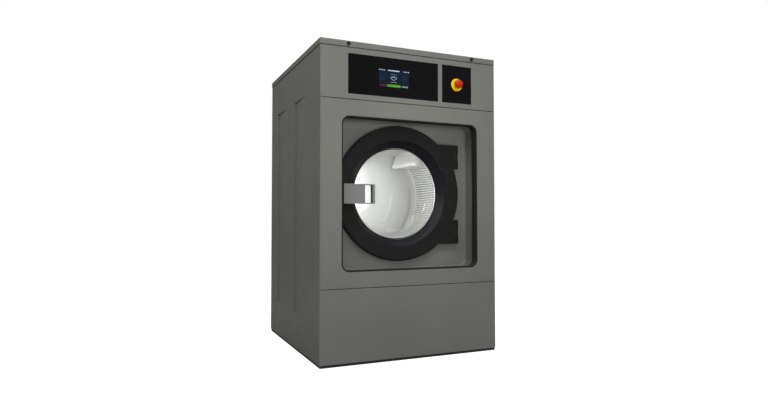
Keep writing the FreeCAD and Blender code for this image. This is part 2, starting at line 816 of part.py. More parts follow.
def make_drum():
    piece("drum_shell", turned("drum_shell", AXIS, [
        ("drum_mouth", drum_front), (drum_radius, drum_front), (drum_radius, drum_rear),
        (drum_inner, drum_rear), (drum_inner, plus(drum_front, "drum_wall")),
        ("drum_mouth", plus(drum_front, "drum_wall"))]))
    rim = f"({drum_inner} - fit_gap)"
    plate_rear = minus(drum_rear, "back_rim")
    plate_front = minus(plate_rear, "back_rim")
    slope = "(dish_radius + dish_slope)"
    piece("drum_back", turned("drum_back", AXIS, [
        ("0", minus(plate_front, "drum_dish")), ("dish_radius", minus(plate_front, "drum_dish")),
        (slope, minus(plate_front, "drum_dish / 3")), (rim, plate_front), (rim, plate_rear),
        (slope, minus(plate_rear, "drum_dish / 3")), ("dish_radius", minus(plate_rear, "drum_dish")),
        ("0", minus(plate_rear, "drum_dish"))]))
    make_lifters(plate_front)
    make_spider()
    piece("drum_shaft", rod("drum_shaft", AXIS, "shaft_radius", (plus(drum_rear, "fit_gap"), shaft_end)))


LIFTER_ANGLES = (39, 159, 279)


def make_lifters(plate_front):
    lifters = []
    end = minus(plate_front, "drum_dish / 3 + slip_gap")
    along = (minus(end, "lifter_length"), end)
    tip = f"({drum_inner} - lifter_height)"
    shoulder = f"({drum_inner} - lifter_height * 0.8)"
    shape = [(drum_inner, "-lifter_base / 2"), (shoulder, "-lifter_nose / 2"), (tip, "-lifter_nose / 4"),
             (tip, "lifter_nose / 4"), (shoulder, "lifter_nose / 2"), (drum_inner, "lifter_base / 2")]
    inside = [(plus(drum_inner, "overcut"), "-(lifter_base / 2 - 2 * drum_wall)"),
              (plus(shoulder, "drum_wall"), "-(lifter_nose / 2 - 2 * drum_wall)"),
              (plus(shoulder, "drum_wall"), "(lifter_nose / 2 - 2 * drum_wall)"),
              (plus(drum_inner, "overcut"), "(lifter_base / 2 - 2 * drum_wall)")]
    bore = rod("lifter_bore", AXIS, f"{drum_inner} - fit_gap", wider(along, "overcut"))
    for angle in LIFTER_ANGLES:
        bar = prism("lifter_bar", "XZ_Plane", shape, along)
        hollow_y = (plus(along[0], "drum_wall"), plus(along[1], "overcut"))
        hollow = prism("lifter_hollow", "XZ_Plane", inside, hollow_y)
        for body in (bar, hollow):
            place(body, FreeCAD.Rotation(Y_AXIS, -angle), "door_x", "0", axis_z)
        lifters.append(cut("lifter", common("lifter_trim", bar, bore), hollow))
    piece("drum_lifters", group("drum_lifters", lifters))


def make_spider():
    along = (drum_rear, spider_rear)
    hub = rod("spider_hub_body", AXIS, "spider_hub", along)
    arms = [hub]
    shape = [("0", "-spider_arm / 2"), (drum_radius, "-spider_arm / 3"), (drum_radius, "spider_arm / 3"),
             ("0", "spider_arm / 2")]
    for angle in LIFTER_ANGLES:
        arm = prism("spider_arm_body", "XZ_Plane", shape, along)
        place(arm, FreeCAD.Rotation(Y_AXIS, -angle), "door_x", "0", axis_z)
        arms.append(common("spider_arm_trim", arm, rod("spider_reach", AXIS, drum_radius, along)))
    bore = rod("spider_bore", AXIS, "shaft_radius + run_gap", wider(along, "overcut"))
    piece("drum_spider", cut("drum_spider", fuse("spider_body", *arms), bore))


# Drive: bearings behind the tub, pulleys, belt and motor


def ring_profile(inner, outer, along):
    return [(inner, along[0]), (outer, along[0]), (outer, along[1]), (inner, along[1])]


def make_bearings():
    bore = "bearing_radius"
    flange_rear = plus(tub_rear, "flange_thickness")
    piece("bearing_housing", turned("bearing_housing", AXIS, [
        (bore, tub_rear), ("housing_flange", tub_rear), ("housing_flange", flange_rear),
        ("housing_radius", plus(flange_rear, "flange_thickness")), ("housing_radius", housing_rear),
        (bore, housing_rear)]))
    bearings = []
    for start in (plus(tub_rear, "tub_back"), minus(housing_rear, "(bearing_width + tub_back)")):
        span = (start, plus(start, "bearing_width"))
        ring = ring_profile("shaft_radius + run_gap", "bearing_radius - run_gap", span)
        bearings.append(turned("bearing", AXIS, ring))
    piece("shaft_bearings", group("shaft_bearings", bearings))
    seal_outer = "bearing_radius + tub_back - fit_gap"
    piece("shaft_seal", turned("shaft_seal", AXIS, ring_profile("shaft_radius + slip_gap", seal_outer,
                                                                (tub_rear_inner, tub_rear))))


def pulley(name, at, bore, hub, radius):
    web_front = f"({pulley_front} + (pulley_width - pulley_web) / 2)"
    web_rear = plus(web_front, "pulley_web")
    rim = f"({radius} - pulley_rim)"
    return turned(name, at, [
        (bore, pulley_front), (hub, pulley_front), (hub, web_front), (rim, web_front), (rim, pulley_front),
        (radius, pulley_front), (radius, pulley_rear), (rim, pulley_rear), (rim, web_rear), (hub, web_rear),
        (hub, pulley_rear), (bore, pulley_rear)])


def make_drive():
    piece("drum_pulley", pulley("drum_pulley", AXIS, "shaft_radius + run_gap", "pulley_hub", "pulley_radius"))
    small = ring_profile("motor_shaft_radius + run_gap", "motor_pulley_radius", (pulley_front, pulley_rear))
    piece("motor_pulley", turned("motor_pulley", MOTOR, small))
    motor_rear = minus(pulley_front, "motor_clear")
    motor_front = minus(motor_rear, "motor_length")
    shaft_start = minus(motor_rear, "motor_shaft_seat")
    shaft_y = (shaft_start, plus(pulley_rear, "run_gap"))
    piece("motor_shaft", rod("motor_shaft", MOTOR, "motor_shaft_radius", shaft_y))
    case = rod("motor_case", MOTOR, "motor_radius", (motor_front, motor_rear))
    bore = rod("motor_bore", MOTOR, "motor_shaft_radius + run_gap", wider(shaft_y, "slip_gap"))
    piece("motor_body", cut("motor_body", case, bore))
    make_motor_bracket(motor_front, motor_rear)
    make_belt()


def make_motor_bracket(motor_front, motor_rear):
    """Two saddle blocks that carry the motor on the tub."""
    half = "bracket_width / 2"
    corners = [towards_motor(distance, sideways) for distance, sideways in (
        (minus(tub_radius, "motor_radius"), f"-{half}"), (motor_distance, f"-{half}"),
        (motor_distance, half), (minus(tub_radius, "motor_radius"), half))]
    first = plus(motor_front, "bracket_inset")
    last = minus(motor_rear, "bracket_inset")
    blocks = []
    for along in ((first, plus(first, "bracket_length")), (minus(last, "bracket_length"), last)):
        bar = prism("bracket_bar", "XZ_Plane", corners, along)
        tub_seat = rod("bracket_tub_seat", AXIS, plus(tub_radius, "fit_gap"), wider(along, "overcut"))
        motor_seat = rod("bracket_motor_seat", MOTOR, "motor_radius + fit_gap", wider(along, "overcut"))
        blocks.append(cut("bracket_block", bar, tub_seat, motor_seat))
    piece("motor_bracket", group("motor_bracket", blocks))


def belt_loop(name, extra, along):
    """Solid under a taut belt: two discs and the straight runs between them."""
    lean = f"((pulley_radius - motor_pulley_radius) / {motor_distance})"
    rise = f"sqrt(1 - {lean}^2)"
    large = f"(pulley_radius + {extra})"
    small = f"(motor_pulley_radius + {extra})"
    corners = []
    for start, radius, side in (("0", large, ""), (motor_distance, small, ""), (motor_distance, small, "-"),
                                ("0", large, "-")):
        corners.append(towards_motor(f"({start} + {radius} * {lean})", f"{side}({radius} * {rise})"))
    runs = prism(name + "_runs", "XZ_Plane", corners, along)
    discs = [rod(name + "_disc", at, radius, along) for at, radius in ((AXIS, large), (MOTOR, small))]
    return fuse(name, runs, *discs)


def make_belt():
    along = (plus(pulley_front, "belt_margin"), minus(pulley_rear, "belt_margin"))
    outside = belt_loop("belt_outside", "slip_gap + belt_thickness", along)
    inside = belt_loop("belt_inside", "slip_gap", wider(along, "overcut"))
    piece("drive_belt", cut("drive_belt", outside, inside))


# Door: ring with hinge lugs and handle pivot, funnel ring, glass bowl, hinge knuckles and pins


handle_back = plus(front, "handle_depth + handle_thickness")
PIVOT = ("(handle_pivot_inset - handle_left)", plus(handle_back, "handle_pivot_back"))
HANDLE_Z = (minus(axis_z, "handle_drop"), f"({axis_z} - handle_drop + handle_height)")
pivot_middle = f"(({HANDLE_Z[0]} + {HANDLE_Z[1]}) / 2)"
pivot_half = "(handle_height / 2 - 2 * handle_ear)"


def lug_span(side):
    middle = f"({axis_z} {side} hinge_spread)"
    return (minus(middle, "lug_height / 2"), plus(middle, "lug_height / 2")), middle


def make_door():
    ring = turned("ring_body", AXIS, [
        ("ring_bore", ring_front), ("ring_radius - ring_edge", ring_front),
        ("ring_radius", plus(ring_front, "ring_edge")), ("ring_radius", ring_back), ("ring_bore", ring_back)])
    middle_radius = "(ring_bore + ring_radius) / 2"
    core = rod("lug_core", AXIS, middle_radius, wider((ring_front, ring_back), "overcut"))
    solids = [ring]
    cuts = []
    for side in ("+", "-"):
        z, middle = lug_span(side)
        lug_x = ("door_x + ring_bore / 2", plus(hinge_x, "hinge_round"))
        lug = block("lug", lug_x, (ring_front, ring_back), z)
        solids.append(cut("lug_trim", lug, core))
        slot_half = "(knuckle_height / 2 + knuckle_slot)"
        slot_round = "(knuckle_radius + knuckle_slot)"
        slot_z = (minus(middle, slot_half), plus(middle, slot_half))
        slot_end = plus(hinge_x, "2 * hinge_round")
        cuts.append(pillar("lug_slot_round", (hinge_x, hinge_y), slot_round, slot_z))
        cuts.append(block("lug_slot_rear", (minus(hinge_x, slot_round), slot_end),
                          (hinge_y, plus(ring_back, "overcut")), slot_z))
        cuts.append(block("lug_slot_side", (hinge_x, slot_end), wider((ring_front, ring_back), "overcut"), slot_z))
        cuts.append(pillar("lug_bore", (hinge_x, hinge_y), "hinge_pin_radius + run_gap", wider(z, "overcut")))
    pivot_z = (minus(pivot_middle, pivot_half), plus(pivot_middle, pivot_half))
    solids.append(pillar("pivot_barrel", PIVOT, "handle_barrel", pivot_z))
    web_half = "(handle_barrel * 0.8)"
    solids.append(block("pivot_web", (minus(PIVOT[0], web_half), plus(PIVOT[0], web_half)),
                        (PIVOT[1], plus(ring_front, "overcut")), pivot_z))
    cuts.append(pillar("pivot_bore", PIVOT, "handle_pin_radius + run_gap", wider(pivot_z, "overcut")))
    beyond_x = (hinge_x, plus(hinge_x, "4 * hinge_round"))
    beyond = block("hinge_side", beyond_x, wider((ring_front, ring_back), "hinge_round"),
                   (minus(axis_z, "ring_radius"), plus(axis_z, "ring_radius")))
    round_off = pillar("hinge_round_body", (hinge_x, hinge_y), "hinge_round",
                       (minus(axis_z, "(ring_radius + overcut)"), plus(axis_z, "(ring_radius + overcut)")))
    cuts.append(cut("hinge_relief", beyond, round_off))
    piece("door_ring", cut("door_ring", fuse("ring_with_lugs", *solids), *cuts))

    seat = "(ring_bore - fit_gap)"
    funnel_front = plus(ring_front, "funnel_step")
    funnel_end = plus(front, "funnel_depth")
    funnel_back = plus(funnel_end, "funnel_wall")
    piece("door_inner_ring", turned("door_inner_ring", AXIS, [
        (seat, funnel_front), ("funnel_radius", funnel_end), ("funnel_radius", funnel_back),
        ("plug_radius", funnel_back), ("plug_radius", ring_back), (seat, ring_back)]))
    flange_back = plus(funnel_back, "bowl_wall")
    bottom = plus(funnel_back, "bowl_depth")
    shoulder = plus(funnel_back, "(bowl_depth * 0.62)")
    step = "(bowl_depth * 0.05)"
    piece("door_glass", turned("door_glass", AXIS, [
        ("0", bottom), ("bowl_floor", minus(bottom, step)), ("bowl_shoulder", shoulder),
        ("bowl_mouth", funnel_back), ("bowl_flange", funnel_back), ("bowl_flange", flange_back),
        ("bowl_mouth + bowl_wall", flange_back),
        ("bowl_shoulder + bowl_wall", plus(shoulder, "bowl_wall / 2")),
        ("bowl_floor + bowl_wall / 2", plus(minus(bottom, step), "bowl_wall")),
        ("0", plus(bottom, "bowl_wall"))]))
    make_hinges()


def make_hinges():
    knuckles = []
    pins = []
    for side in ("+", "-"):
        z, middle = lug_span(side)
        height = (minus(middle, "knuckle_height / 2"), plus(middle, "knuckle_height / 2"))
        barrel = pillar("knuckle_barrel", (hinge_x, hinge_y), "knuckle_radius", height)
        web = block("knuckle_web", (minus(hinge_x, "knuckle_radius"), plus(hinge_x, "knuckle_radius")),
                    (hinge_y, recess_floor), height)
        bore_z = wider(height, "overcut")
        bore = pillar("knuckle_bore", (hinge_x, hinge_y), "hinge_pin_radius + run_gap", bore_z)
        knuckles.append(cut("knuckle", fuse("knuckle_body", barrel, web), bore))
        pins.append(pillar("hinge_pin", (hinge_x, hinge_y), "hinge_pin_radius", z))
    piece("hinge_knuckles", group("hinge_knuckles", knuckles))
    piece("hinge_pins", group("hinge_pins", pins))


# Door handle: loop with a window for the fingers, ears round the pivot and a latch nose


def make_handle():
    x = ("-(handle_left)", "(handle_width - handle_left)")
    y = (plus(front, "handle_depth"), handle_back)
    body = block("handle_body", x, y, HANDLE_Z)
    window_x = ("(window_offset - handle_left)", "(window_offset + window_width - handle_left)")
    window = block("handle_window", window_x, wider(y, "overcut"), wider(HANDLE_Z, "-1 * window_rail"))
    hollow_x = (plus(x[0], "handle_skin"), minus(window_x[0], "handle_skin"))
    hollow = block("handle_hollow", hollow_x, (plus(y[0], "handle_skin"), plus(y[1], "overcut")),
                   wider(HANDLE_Z, "-1 * handle_skin"))
    solids = [cut("handle_loop", body, window, hollow)]
    ear_round = "(handle_barrel + sheet)"
    cuts = []
    low, high = HANDLE_Z
    for z in ((low, plus(low, "handle_ear")), (minus(high, "handle_ear"), high)):
        solids.append(pillar("handle_ear_round", PIVOT, ear_round, z))
        solids.append(block("handle_ear_arm", (minus(PIVOT[0], ear_round), plus(PIVOT[0], ear_round)),
                            (plus(y[0], "handle_skin"), PIVOT[1]), z))
        cuts.append(pillar("handle_ear_bore", PIVOT, "handle_pin_radius + run_gap", wider(z, "overcut")))
    nose_half = "latch_height / 2"
    solids.append(block("latch_nose", (x[0], plus(x[0], "handle_skin")), (y[0], plus(y[1], "latch_reach")),
                        (minus(pivot_middle, nose_half), plus(pivot_middle, nose_half))))
    piece("door_handle", cut("door_handle", fuse("handle_with_ears", *solids), *cuts))
    piece("handle_pin", pillar("handle_pin", PIVOT, "handle_pin_radius", HANDLE_Z))


# Back: rear panel, louvred cover, water and dosing inlets, gland, inverter, drain


INLETS = (("cold_water_valve", "cold_inlet_place"), ("hot_water_valve", "hot_inlet_place"))
DOSING_STEPS = (-1.5, -0.5, 0.5, 1.5)
dosing_xs = [f"(dosing_place + {step} * dosing_pitch)" for step in DOSING_STEPS]
COVER_Z = (f"({axis_z} - cover_height / 2)", f"({axis_z} + cover_height / 2)")
COVER_X = both("cover_width / 2")


def make_rear_panel():
    through = (f"{back_inner} - overcut", f"{back} + overcut")
    skin = block("rear_skin", both(front_half), (back_inner, back), ("plinth_height", panel_top))
    inset = "-1 * cover_overlap"
    cuts = [block("cover_hole", wider(COVER_X, inset), through, wider(COVER_Z, inset))]
    for _, x in INLETS:
        cuts.append(rod("inlet_hole", (x, inlet_z), "inlet_radius + tail_shoulder + slip_gap", through))
    for x in dosing_xs:
        cuts.append(rod("dosing_hole", (x, inlet_z), "dosing_radius + slip_gap", through))
    cuts.append(rod("gland_hole", ("gland_place", inlet_z), "gland_radius + slip_gap", through))
    drain_hole_radius = "drain_radius + tail_shoulder + slip_gap"
    cuts.append(rod("drain_hole", ("door_x", "drain_height"), drain_hole_radius, through))
    piece("rear_panel", cut("rear_panel", skin, *cuts))

    cover = block("cover_sheet", COVER_X, (back, plus(back, "sheet")), COVER_Z)
    slots = []
    for side in ("-", ""):
        for row in range(6):
            x = f"({side}(slot_spread))"
            z = f"({axis_z} + {row - 2.5} * slot_pitch)"
            slots.append(block("cover_slot", (minus(x, "slot_length / 2"), plus(x, "slot_length / 2")),
                               (f"{back} - overcut", f"{back} + sheet + overcut"),
                               (minus(z, "slot_height / 2"), plus(z, "slot_height / 2"))))
    piece("rear_access_cover", cut("rear_access_cover", cover, *slots))


def make_water():
    half = "valve_size / 2"
    z = (minus(inlet_z, half), plus(inlet_z, half))
    valve_y = (minus(back_inner, "valve_depth"), back_inner)
    for label, x in INLETS:
        at = (x, inlet_z)
        body = block(label + "_body", (minus(x, half), plus(x, half)), valve_y, z)
        neck = rod(label + "_neck", at, "inlet_radius + tail_shoulder", (back_inner, tail_start))
        tail = rod(label + "_tail", at, "inlet_radius", (tail_start, plus(tail_start, "inlet_stub")))
        piece(label, fuse(label, body, neck, tail))
    make_fill_pipe(z[0])

    block_x = wider((dosing_xs[0], dosing_xs[-1]), "dosing_pitch / 2")
    solids = [block("dosing_body", block_x, (minus(back_inner, "dosing_pitch"), back_inner),
                    wider((inlet_z, inlet_z), "dosing_pitch / 2"))]
    for x in dosing_xs:
        solids.append(rod("dosing_tail", (x, inlet_z), "dosing_radius",
                          (minus(back_inner, "overcut"), plus(back, "dosing_stub"))))
    piece("dosing_manifold", fuse("dosing_manifold", *solids))


def make_fill_pipe(valve_bottom):
    """Pipe under both valves that runs forward and ends over the tub's funnel with an air gap."""
    middle_y = minus(back_inner, "valve_depth / 2")
    pipe_z = minus(valve_bottom, "fill_radius")
    spout = ("door_x + funnel_offset", "funnel_place")
    left = minus("cold_inlet_place", "fill_radius")
    header = block("fill_header", (left, plus(spout[0], "fill_radius")),
                   (minus(middle_y, "fill_radius"), plus(middle_y, "fill_radius")),
                   (minus(pipe_z, "fill_radius"), valve_bottom))
    run = rod("fill_run", (spout[0], pipe_z), "fill_radius", (spout[1], middle_y))
    spout_z = plus(funnel_top, "air_gap")
    drop = pillar("fill_drop", spout, "fill_radius", (spout_z, pipe_z))
    bend = doc.addObject("Part::Sphere", "fill_bend")
    bind(bend, "Radius", "fill_radius")
    place(bend, UPRIGHT, spout[0], spout[1], pipe_z)
    bore = pillar("fill_bore_down", spout, "fill_bore", (minus(spout_z, "overcut"), pipe_z))
    piece("fill_pipe", cut("fill_pipe", fuse("fill_tubes", header, run, drop, bend), bore))


def make_electrics():
    at = ("gland_place", inlet_z)
    gland_y = (minus(back_inner, "gland_length / 2"), plus(back, "gland_length"))
    body = rod("gland_body", at, "gland_radius", gland_y)
    nut = rod("gland_nut_body", at, "gland_nut", (back, plus(back, "gland_length / 2")))
    bore = rod("gland_bore", at, "gland_bore", wider(gland_y, "overcut"))
    piece("cable_gland", cut("cable_gland", fuse("gland_solid", body, nut), bore))
    half = "inverter_width / 2"
    high = "inverter_height / 2"
    drive_x = (minus("inverter_place", half), plus("inverter_place", half))
    drive_y = (minus(back_inner, "inverter_depth"), back_inner)
    drive_z = (minus(inlet_z, high), plus(inlet_z, high))
    piece("inverter_drive", block("inverter_drive", drive_x, drive_y, drive_z))


def make_drain():
    at = ("door_x", "drain_height")
    foot_top = plus(beam_top, "drain_foot")
    foot = block("drain_foot_block", (minus("door_x", "drain_body"), plus("door_x", "drain_body")),
                 (minus("sump_place", "drain_body"), plus("sump_place", "drain_wall")), (beam_top, foot_top))
    body_z = (minus(foot_top, "drain_wall"), "drain_top")
    body = pillar("drain_body_tube", ("door_x", "sump_place"), "drain_body", body_z)
    tail_end = plus(tail_start, "drain_stub")
    pipe = rod("drain_pipe", at, "drain_radius + tail_shoulder", ("sump_place", tail_start))
    tail = rod("drain_tail", at, "drain_radius", (tail_start, tail_end))
    bore_radius = "drain_radius - drain_wall"
    pipe_bore = rod("drain_pipe_bore", at, bore_radius, ("sump_place", plus(tail_end, "overcut")))
    well_z = ("drain_height", plus("drain_top", "overcut"))
    well = pillar("drain_well", ("door_x", "sump_place"), bore_radius, well_z)
    piece("drain_valve", cut("drain_valve", fuse("drain_solid", foot, body, pipe, tail), pipe_bore, well))
    hose_z = ("drain_top", plus(sump_low, "hose_grip"))
    outer = pillar("hose_outer", ("door_x", "sump_place"), "sump_radius + slip_gap + hose_wall", hose_z)
    inner = pillar("hose_inner", ("door_x", "sump_place"), "sump_radius + slip_gap", wider(hose_z, "overcut"))
    piece("drain_hose", cut("drain_hose", outer, inner))


# The whole machine

make_base()
make_posts()
make_side_panel("left_side_panel", True)
make_side_panel("right_side_panel", False)
make_lid()
make_fascia()
make_front_panels()
make_stop()
make_tub()
make_surround()
make_suspension()
make_drum()
make_bearings()
make_drive()
make_door()
make_handle()
make_rear_panel()
make_water()
make_electrics()
make_drain()
doc.recompute()

for item in doc.Objects:
    if "Invalid" in item.State or "Error" in item.State:
        raise RuntimeError(f"{item.Label} failed: {item.State}")
for item in pieces:
    if item.Shape.isNull() or not item.Shape.isValid():
        raise RuntimeError(f"{item.Label} has no valid shape")

os.makedirs("parts", exist_ok=True)
for item in pieces:
    item.Shape.exportStep(f"parts/{item.Label}.step")
    box = item.Shape.BoundBox
    extent = " x ".join(f"{length:.1f}" for length in (box.XLength, box.YLength, box.ZLength))
    print(f"{item.Label}: {len(item.Shape.Solids)} solids, {extent} mm")
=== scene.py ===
"""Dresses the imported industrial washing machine: cabinet, controls, door, drum, drive and water fittings."""
import json
from math import atan2, cos, degrees, floor, hypot, pi, radians, sin

import bmesh
import bpy
from mathutils import Matrix, Vector

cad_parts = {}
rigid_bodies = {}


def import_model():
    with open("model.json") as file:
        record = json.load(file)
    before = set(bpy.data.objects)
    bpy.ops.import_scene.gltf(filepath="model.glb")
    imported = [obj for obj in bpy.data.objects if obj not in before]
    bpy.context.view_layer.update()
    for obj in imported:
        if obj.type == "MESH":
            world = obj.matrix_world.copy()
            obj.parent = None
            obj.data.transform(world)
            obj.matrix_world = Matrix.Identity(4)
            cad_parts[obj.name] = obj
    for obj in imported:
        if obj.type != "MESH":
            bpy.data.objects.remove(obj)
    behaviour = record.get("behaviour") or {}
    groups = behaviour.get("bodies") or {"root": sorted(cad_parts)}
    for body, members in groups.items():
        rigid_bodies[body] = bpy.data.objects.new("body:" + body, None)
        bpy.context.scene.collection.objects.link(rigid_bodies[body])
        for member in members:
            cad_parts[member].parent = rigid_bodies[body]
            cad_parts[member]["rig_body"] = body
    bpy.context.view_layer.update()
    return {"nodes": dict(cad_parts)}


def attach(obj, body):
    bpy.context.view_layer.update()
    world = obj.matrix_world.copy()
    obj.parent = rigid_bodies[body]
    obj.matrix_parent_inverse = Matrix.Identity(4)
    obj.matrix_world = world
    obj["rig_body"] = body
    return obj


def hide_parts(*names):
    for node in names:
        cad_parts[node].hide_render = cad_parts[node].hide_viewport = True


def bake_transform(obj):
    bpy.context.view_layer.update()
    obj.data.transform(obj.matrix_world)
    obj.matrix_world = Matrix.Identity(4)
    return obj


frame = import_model()

# Shapes are given in millimetres, which MM turns into metres; finishes, blends and the studio are in metres
MM = 0.001
TOUCHING = 1e-6
WASH_AXIS = (-20.0, 748.0)
STOP_AXIS = (231.0, 1260.75)
DRUM_MIDDLE = Vector((-20.0, -50.0, 748.0)) * MM
BLACK = (0.0, 0.0, 0.0, 1.0)
WHITE = (1.0, 1.0, 1.0, 1.0)


# Shading effects that several finishes share

NOISE_RANGE = (0.3, 0.7)


def put(tree, kind, feeds=None, **settings):
    """A shader node whose inputs take a value or another node's output."""
    node = tree.nodes.new("ShaderNode" + kind)
    for label, value in settings.items():
        setattr(node, label, value)
    for label, value in (feeds or {}).items():
        if isinstance(value, bpy.types.NodeSocket):
            tree.links.new(value, node.inputs[label])
        else:
            node.inputs[label].default_value = value
    return node


def use(tree, group, feeds):
    """A shared effect placed in a finish with its own values."""
    return put(tree, "Group", feeds, node_tree=group).outputs


def between(tree, share, first, second):
    """A colour between two others."""
    mix = put(tree, "Mix", {0: share, 6: first, 7: second}, data_type="RGBA")
    return mix.outputs[2]


def spread(tree, value, low, high, least, most):
    """A value moved from one range to another."""
    feeds = {"Value": value, "From Min": low, "From Max": high, "To Min": least, "To Max": most}
    return put(tree, "MapRange", feeds).outputs["Result"]


def effect(name, takes, gives):
    """An empty shared effect with its sockets."""
    tree = bpy.data.node_groups.new(name, "ShaderNodeTree")
    for label, kind in takes:
        tree.interface.new_socket(name=label, in_out="INPUT", socket_type="NodeSocket" + kind)
    for label, kind in gives:
        tree.interface.new_socket(name=label, in_out="OUTPUT", socket_type="NodeSocket" + kind)
    return tree, tree.nodes.new("NodeGroupInput").outputs, tree.nodes.new("NodeGroupOutput").inputs


def make_tone_drift():
    """Slow change of colour over a surface."""
    tree, given, out = effect(
        "tone_drift",
        [("Vector", "Vector"), ("Dark", "Color"), ("Light", "Color")],
        [("Color", "Color")],
    )
    cloud = put(tree, "TexNoise", {"Vector": given["Vector"], "Scale": 3.0, "Detail": 5.0})
    share = spread(tree, cloud.outputs["Fac"], *NOISE_RANGE, 0.0, 1.0)
    tree.links.new(between(tree, share, given["Dark"], given["Light"]), out["Color"])
    return tree


def make_skin_grain():
    """Fine skin of paint, casting or moulding, with uneven gloss."""
    tree, given, out = effect(
        "skin_grain",
        [("Vector", "Vector"), ("Scale", "Float"), ("Smooth", "Float"), ("Rough", "Float")],
        [("Roughness", "Float"), ("Height", "Float")],
    )
    fine = put(tree, "TexNoise", {"Vector": given["Vector"], "Scale": given["Scale"], "Detail": 2.0})
    patch = put(tree, "TexNoise", {"Vector": given["Vector"], "Scale": 9.0, "Detail": 6.0})
    level = spread(tree, patch.outputs["Fac"], 0.25, 0.75, given["Smooth"], given["Rough"])
    tree.links.new(level, out["Roughness"])
    tree.links.new(fine.outputs["Fac"], out["Height"])
    return tree


def make_drawn_lines():
    """Fine lines left by rolling or brushing a metal, along the least stretched direction."""
    tree, given, out = effect(
        "drawn_lines",
        [("Vector", "Vector"), ("Stretch", "Vector"), ("Smooth", "Float"), ("Rough", "Float")],
        [("Roughness", "Float"), ("Height", "Float")],
    )
    stretched = put(tree, "VectorMath", {0: given["Vector"], 1: given["Stretch"]}, operation="MULTIPLY")
    lines = put(tree, "TexNoise", {"Vector": stretched.outputs[0], "Scale": 1.0, "Detail": 6.0})
    level = spread(tree, lines.outputs["Fac"], *NOISE_RANGE, given["Smooth"], given["Rough"])
    tree.links.new(level, out["Roughness"])
    tree.links.new(lines.outputs["Fac"], out["Height"])
    return tree


def make_settled_dust():
    """Dust that lies where a surface faces up."""
    tree, given, out = effect(
        "settled_dust",
        [("Vector", "Vector"), ("Amount", "Float"), ("Clean", "Color"), ("Dust", "Color")],
        [("Color", "Color")],
    )
    up = put(tree, "SeparateXYZ", {0: put(tree, "NewGeometry").outputs["Normal"]})
    level = spread(tree, up.outputs["Z"], 0.2, 1.0, 0.05, 1.0)
    patch = put(tree, "TexNoise", {"Vector": given["Vector"], "Scale": 14.0, "Detail": 8.0})
    lie = put(tree, "Math", {0: level, 1: patch.outputs["Fac"]}, operation="MULTIPLY")
    share = put(tree, "Math", {0: lie.outputs[0], 1: given["Amount"]}, operation="MULTIPLY", use_clamp=True)
    tree.links.new(between(tree, share.outputs[0], given["Clean"], given["Dust"]), out["Color"])
    return tree


TONE_DRIFT = make_tone_drift()
SKIN_GRAIN = make_skin_grain()
DRAWN_LINES = make_drawn_lines()
SETTLED_DUST = make_settled_dust()


# Finishes

DUST_TONE = "8d8a82"
LINE_DEPTH = 0.00005
SCREEN_LOW, SCREEN_HIGH = 1.22, 1.30


def shade(code):
    """A hexadecimal screen colour as linear light."""
    parts = [int(code[i:i + 2], 16) / 255 for i in (0, 2, 4)]
    return tuple(p / 12.92 if p <= 0.04045 else ((p + 0.055) / 1.055) ** 2.4 for p in parts) + (1.0,)


def empty_finish(name, sockets):
    """A new finish with plain values on its shader, and the places on the object that its patterns read."""
    material = bpy.data.materials.new(name)
    material.use_nodes = True
    tree = material.node_tree
    shader = tree.nodes["Principled BSDF"]
    for label, value in sockets.items():
        shader.inputs[label].default_value = value
    return material, tree, shader, put(tree, "TexCoord").outputs["Object"]


def raise_skin(tree, shader, height, depth, strength):
    """Relief from a height pattern."""
    bump = put(tree, "Bump", {"Height": height, "Distance": depth, "Strength": strength})
    tree.links.new(bump.outputs["Normal"], shader.inputs["Normal"])


def finish(name, dark, light, gloss, grain=900.0, depth=0.0002, strength=0.2, dust=0.0, **sockets):
    """Paint, plastic, rubber or casting: two tones that drift, a fine skin, uneven gloss and some dust."""
    plain = {label.replace("_", " "): value for label, value in sockets.items()}
    material, tree, shader, places = empty_finish(name, plain)
    tones = {"Vector": places, "Dark": shade(dark), "Light": shade(light)}
    colour = use(tree, TONE_DRIFT, tones)["Color"]
    if dust:
        feeds = {"Vector": places, "Amount": dust, "Clean": colour, "Dust": shade(DUST_TONE)}
        colour = use(tree, SETTLED_DUST, feeds)["Color"]
    skin = use(tree, SKIN_GRAIN, {"Vector": places, "Scale": grain, "Smooth": gloss[0], "Rough": gloss[1]})
    tree.links.new(colour, shader.inputs["Base Color"])
    tree.links.new(skin["Roughness"], shader.inputs["Roughness"])
    raise_skin(tree, shader, skin["Height"], depth, strength)
    return material


def brushed(name, dark, light, gloss, stretch, strength=0.15, centre=None, metallic=1.0):
    """Metal with fine lines in it, straight or in rings round a centre."""
    material, tree, shader, places = empty_finish(name, {"Metallic": metallic})
    if centre:
        flat = put(tree, "VectorMath", {0: places, 1: (1.0, 0.0, 1.0)}, operation="MULTIPLY")
        out = put(tree, "VectorMath", {0: flat.outputs[0], 1: centre}, operation="DISTANCE")
        places = put(tree, "CombineXYZ", {"X": out.outputs["Value"]}).outputs[0]
    feeds = {"Vector": places, "Stretch": stretch, "Smooth": gloss[0], "Rough": gloss[1]}
    lines = use(tree, DRAWN_LINES, feeds)
    share = spread(tree, lines["Height"], *NOISE_RANGE, 0.0, 1.0)
    tree.links.new(between(tree, share, shade(dark), shade(light)), shader.inputs["Base Color"])
    tree.links.new(lines["Roughness"], shader.inputs["Roughness"])
    raise_skin(tree, shader, lines["Height"], LINE_DEPTH, strength)
    return material


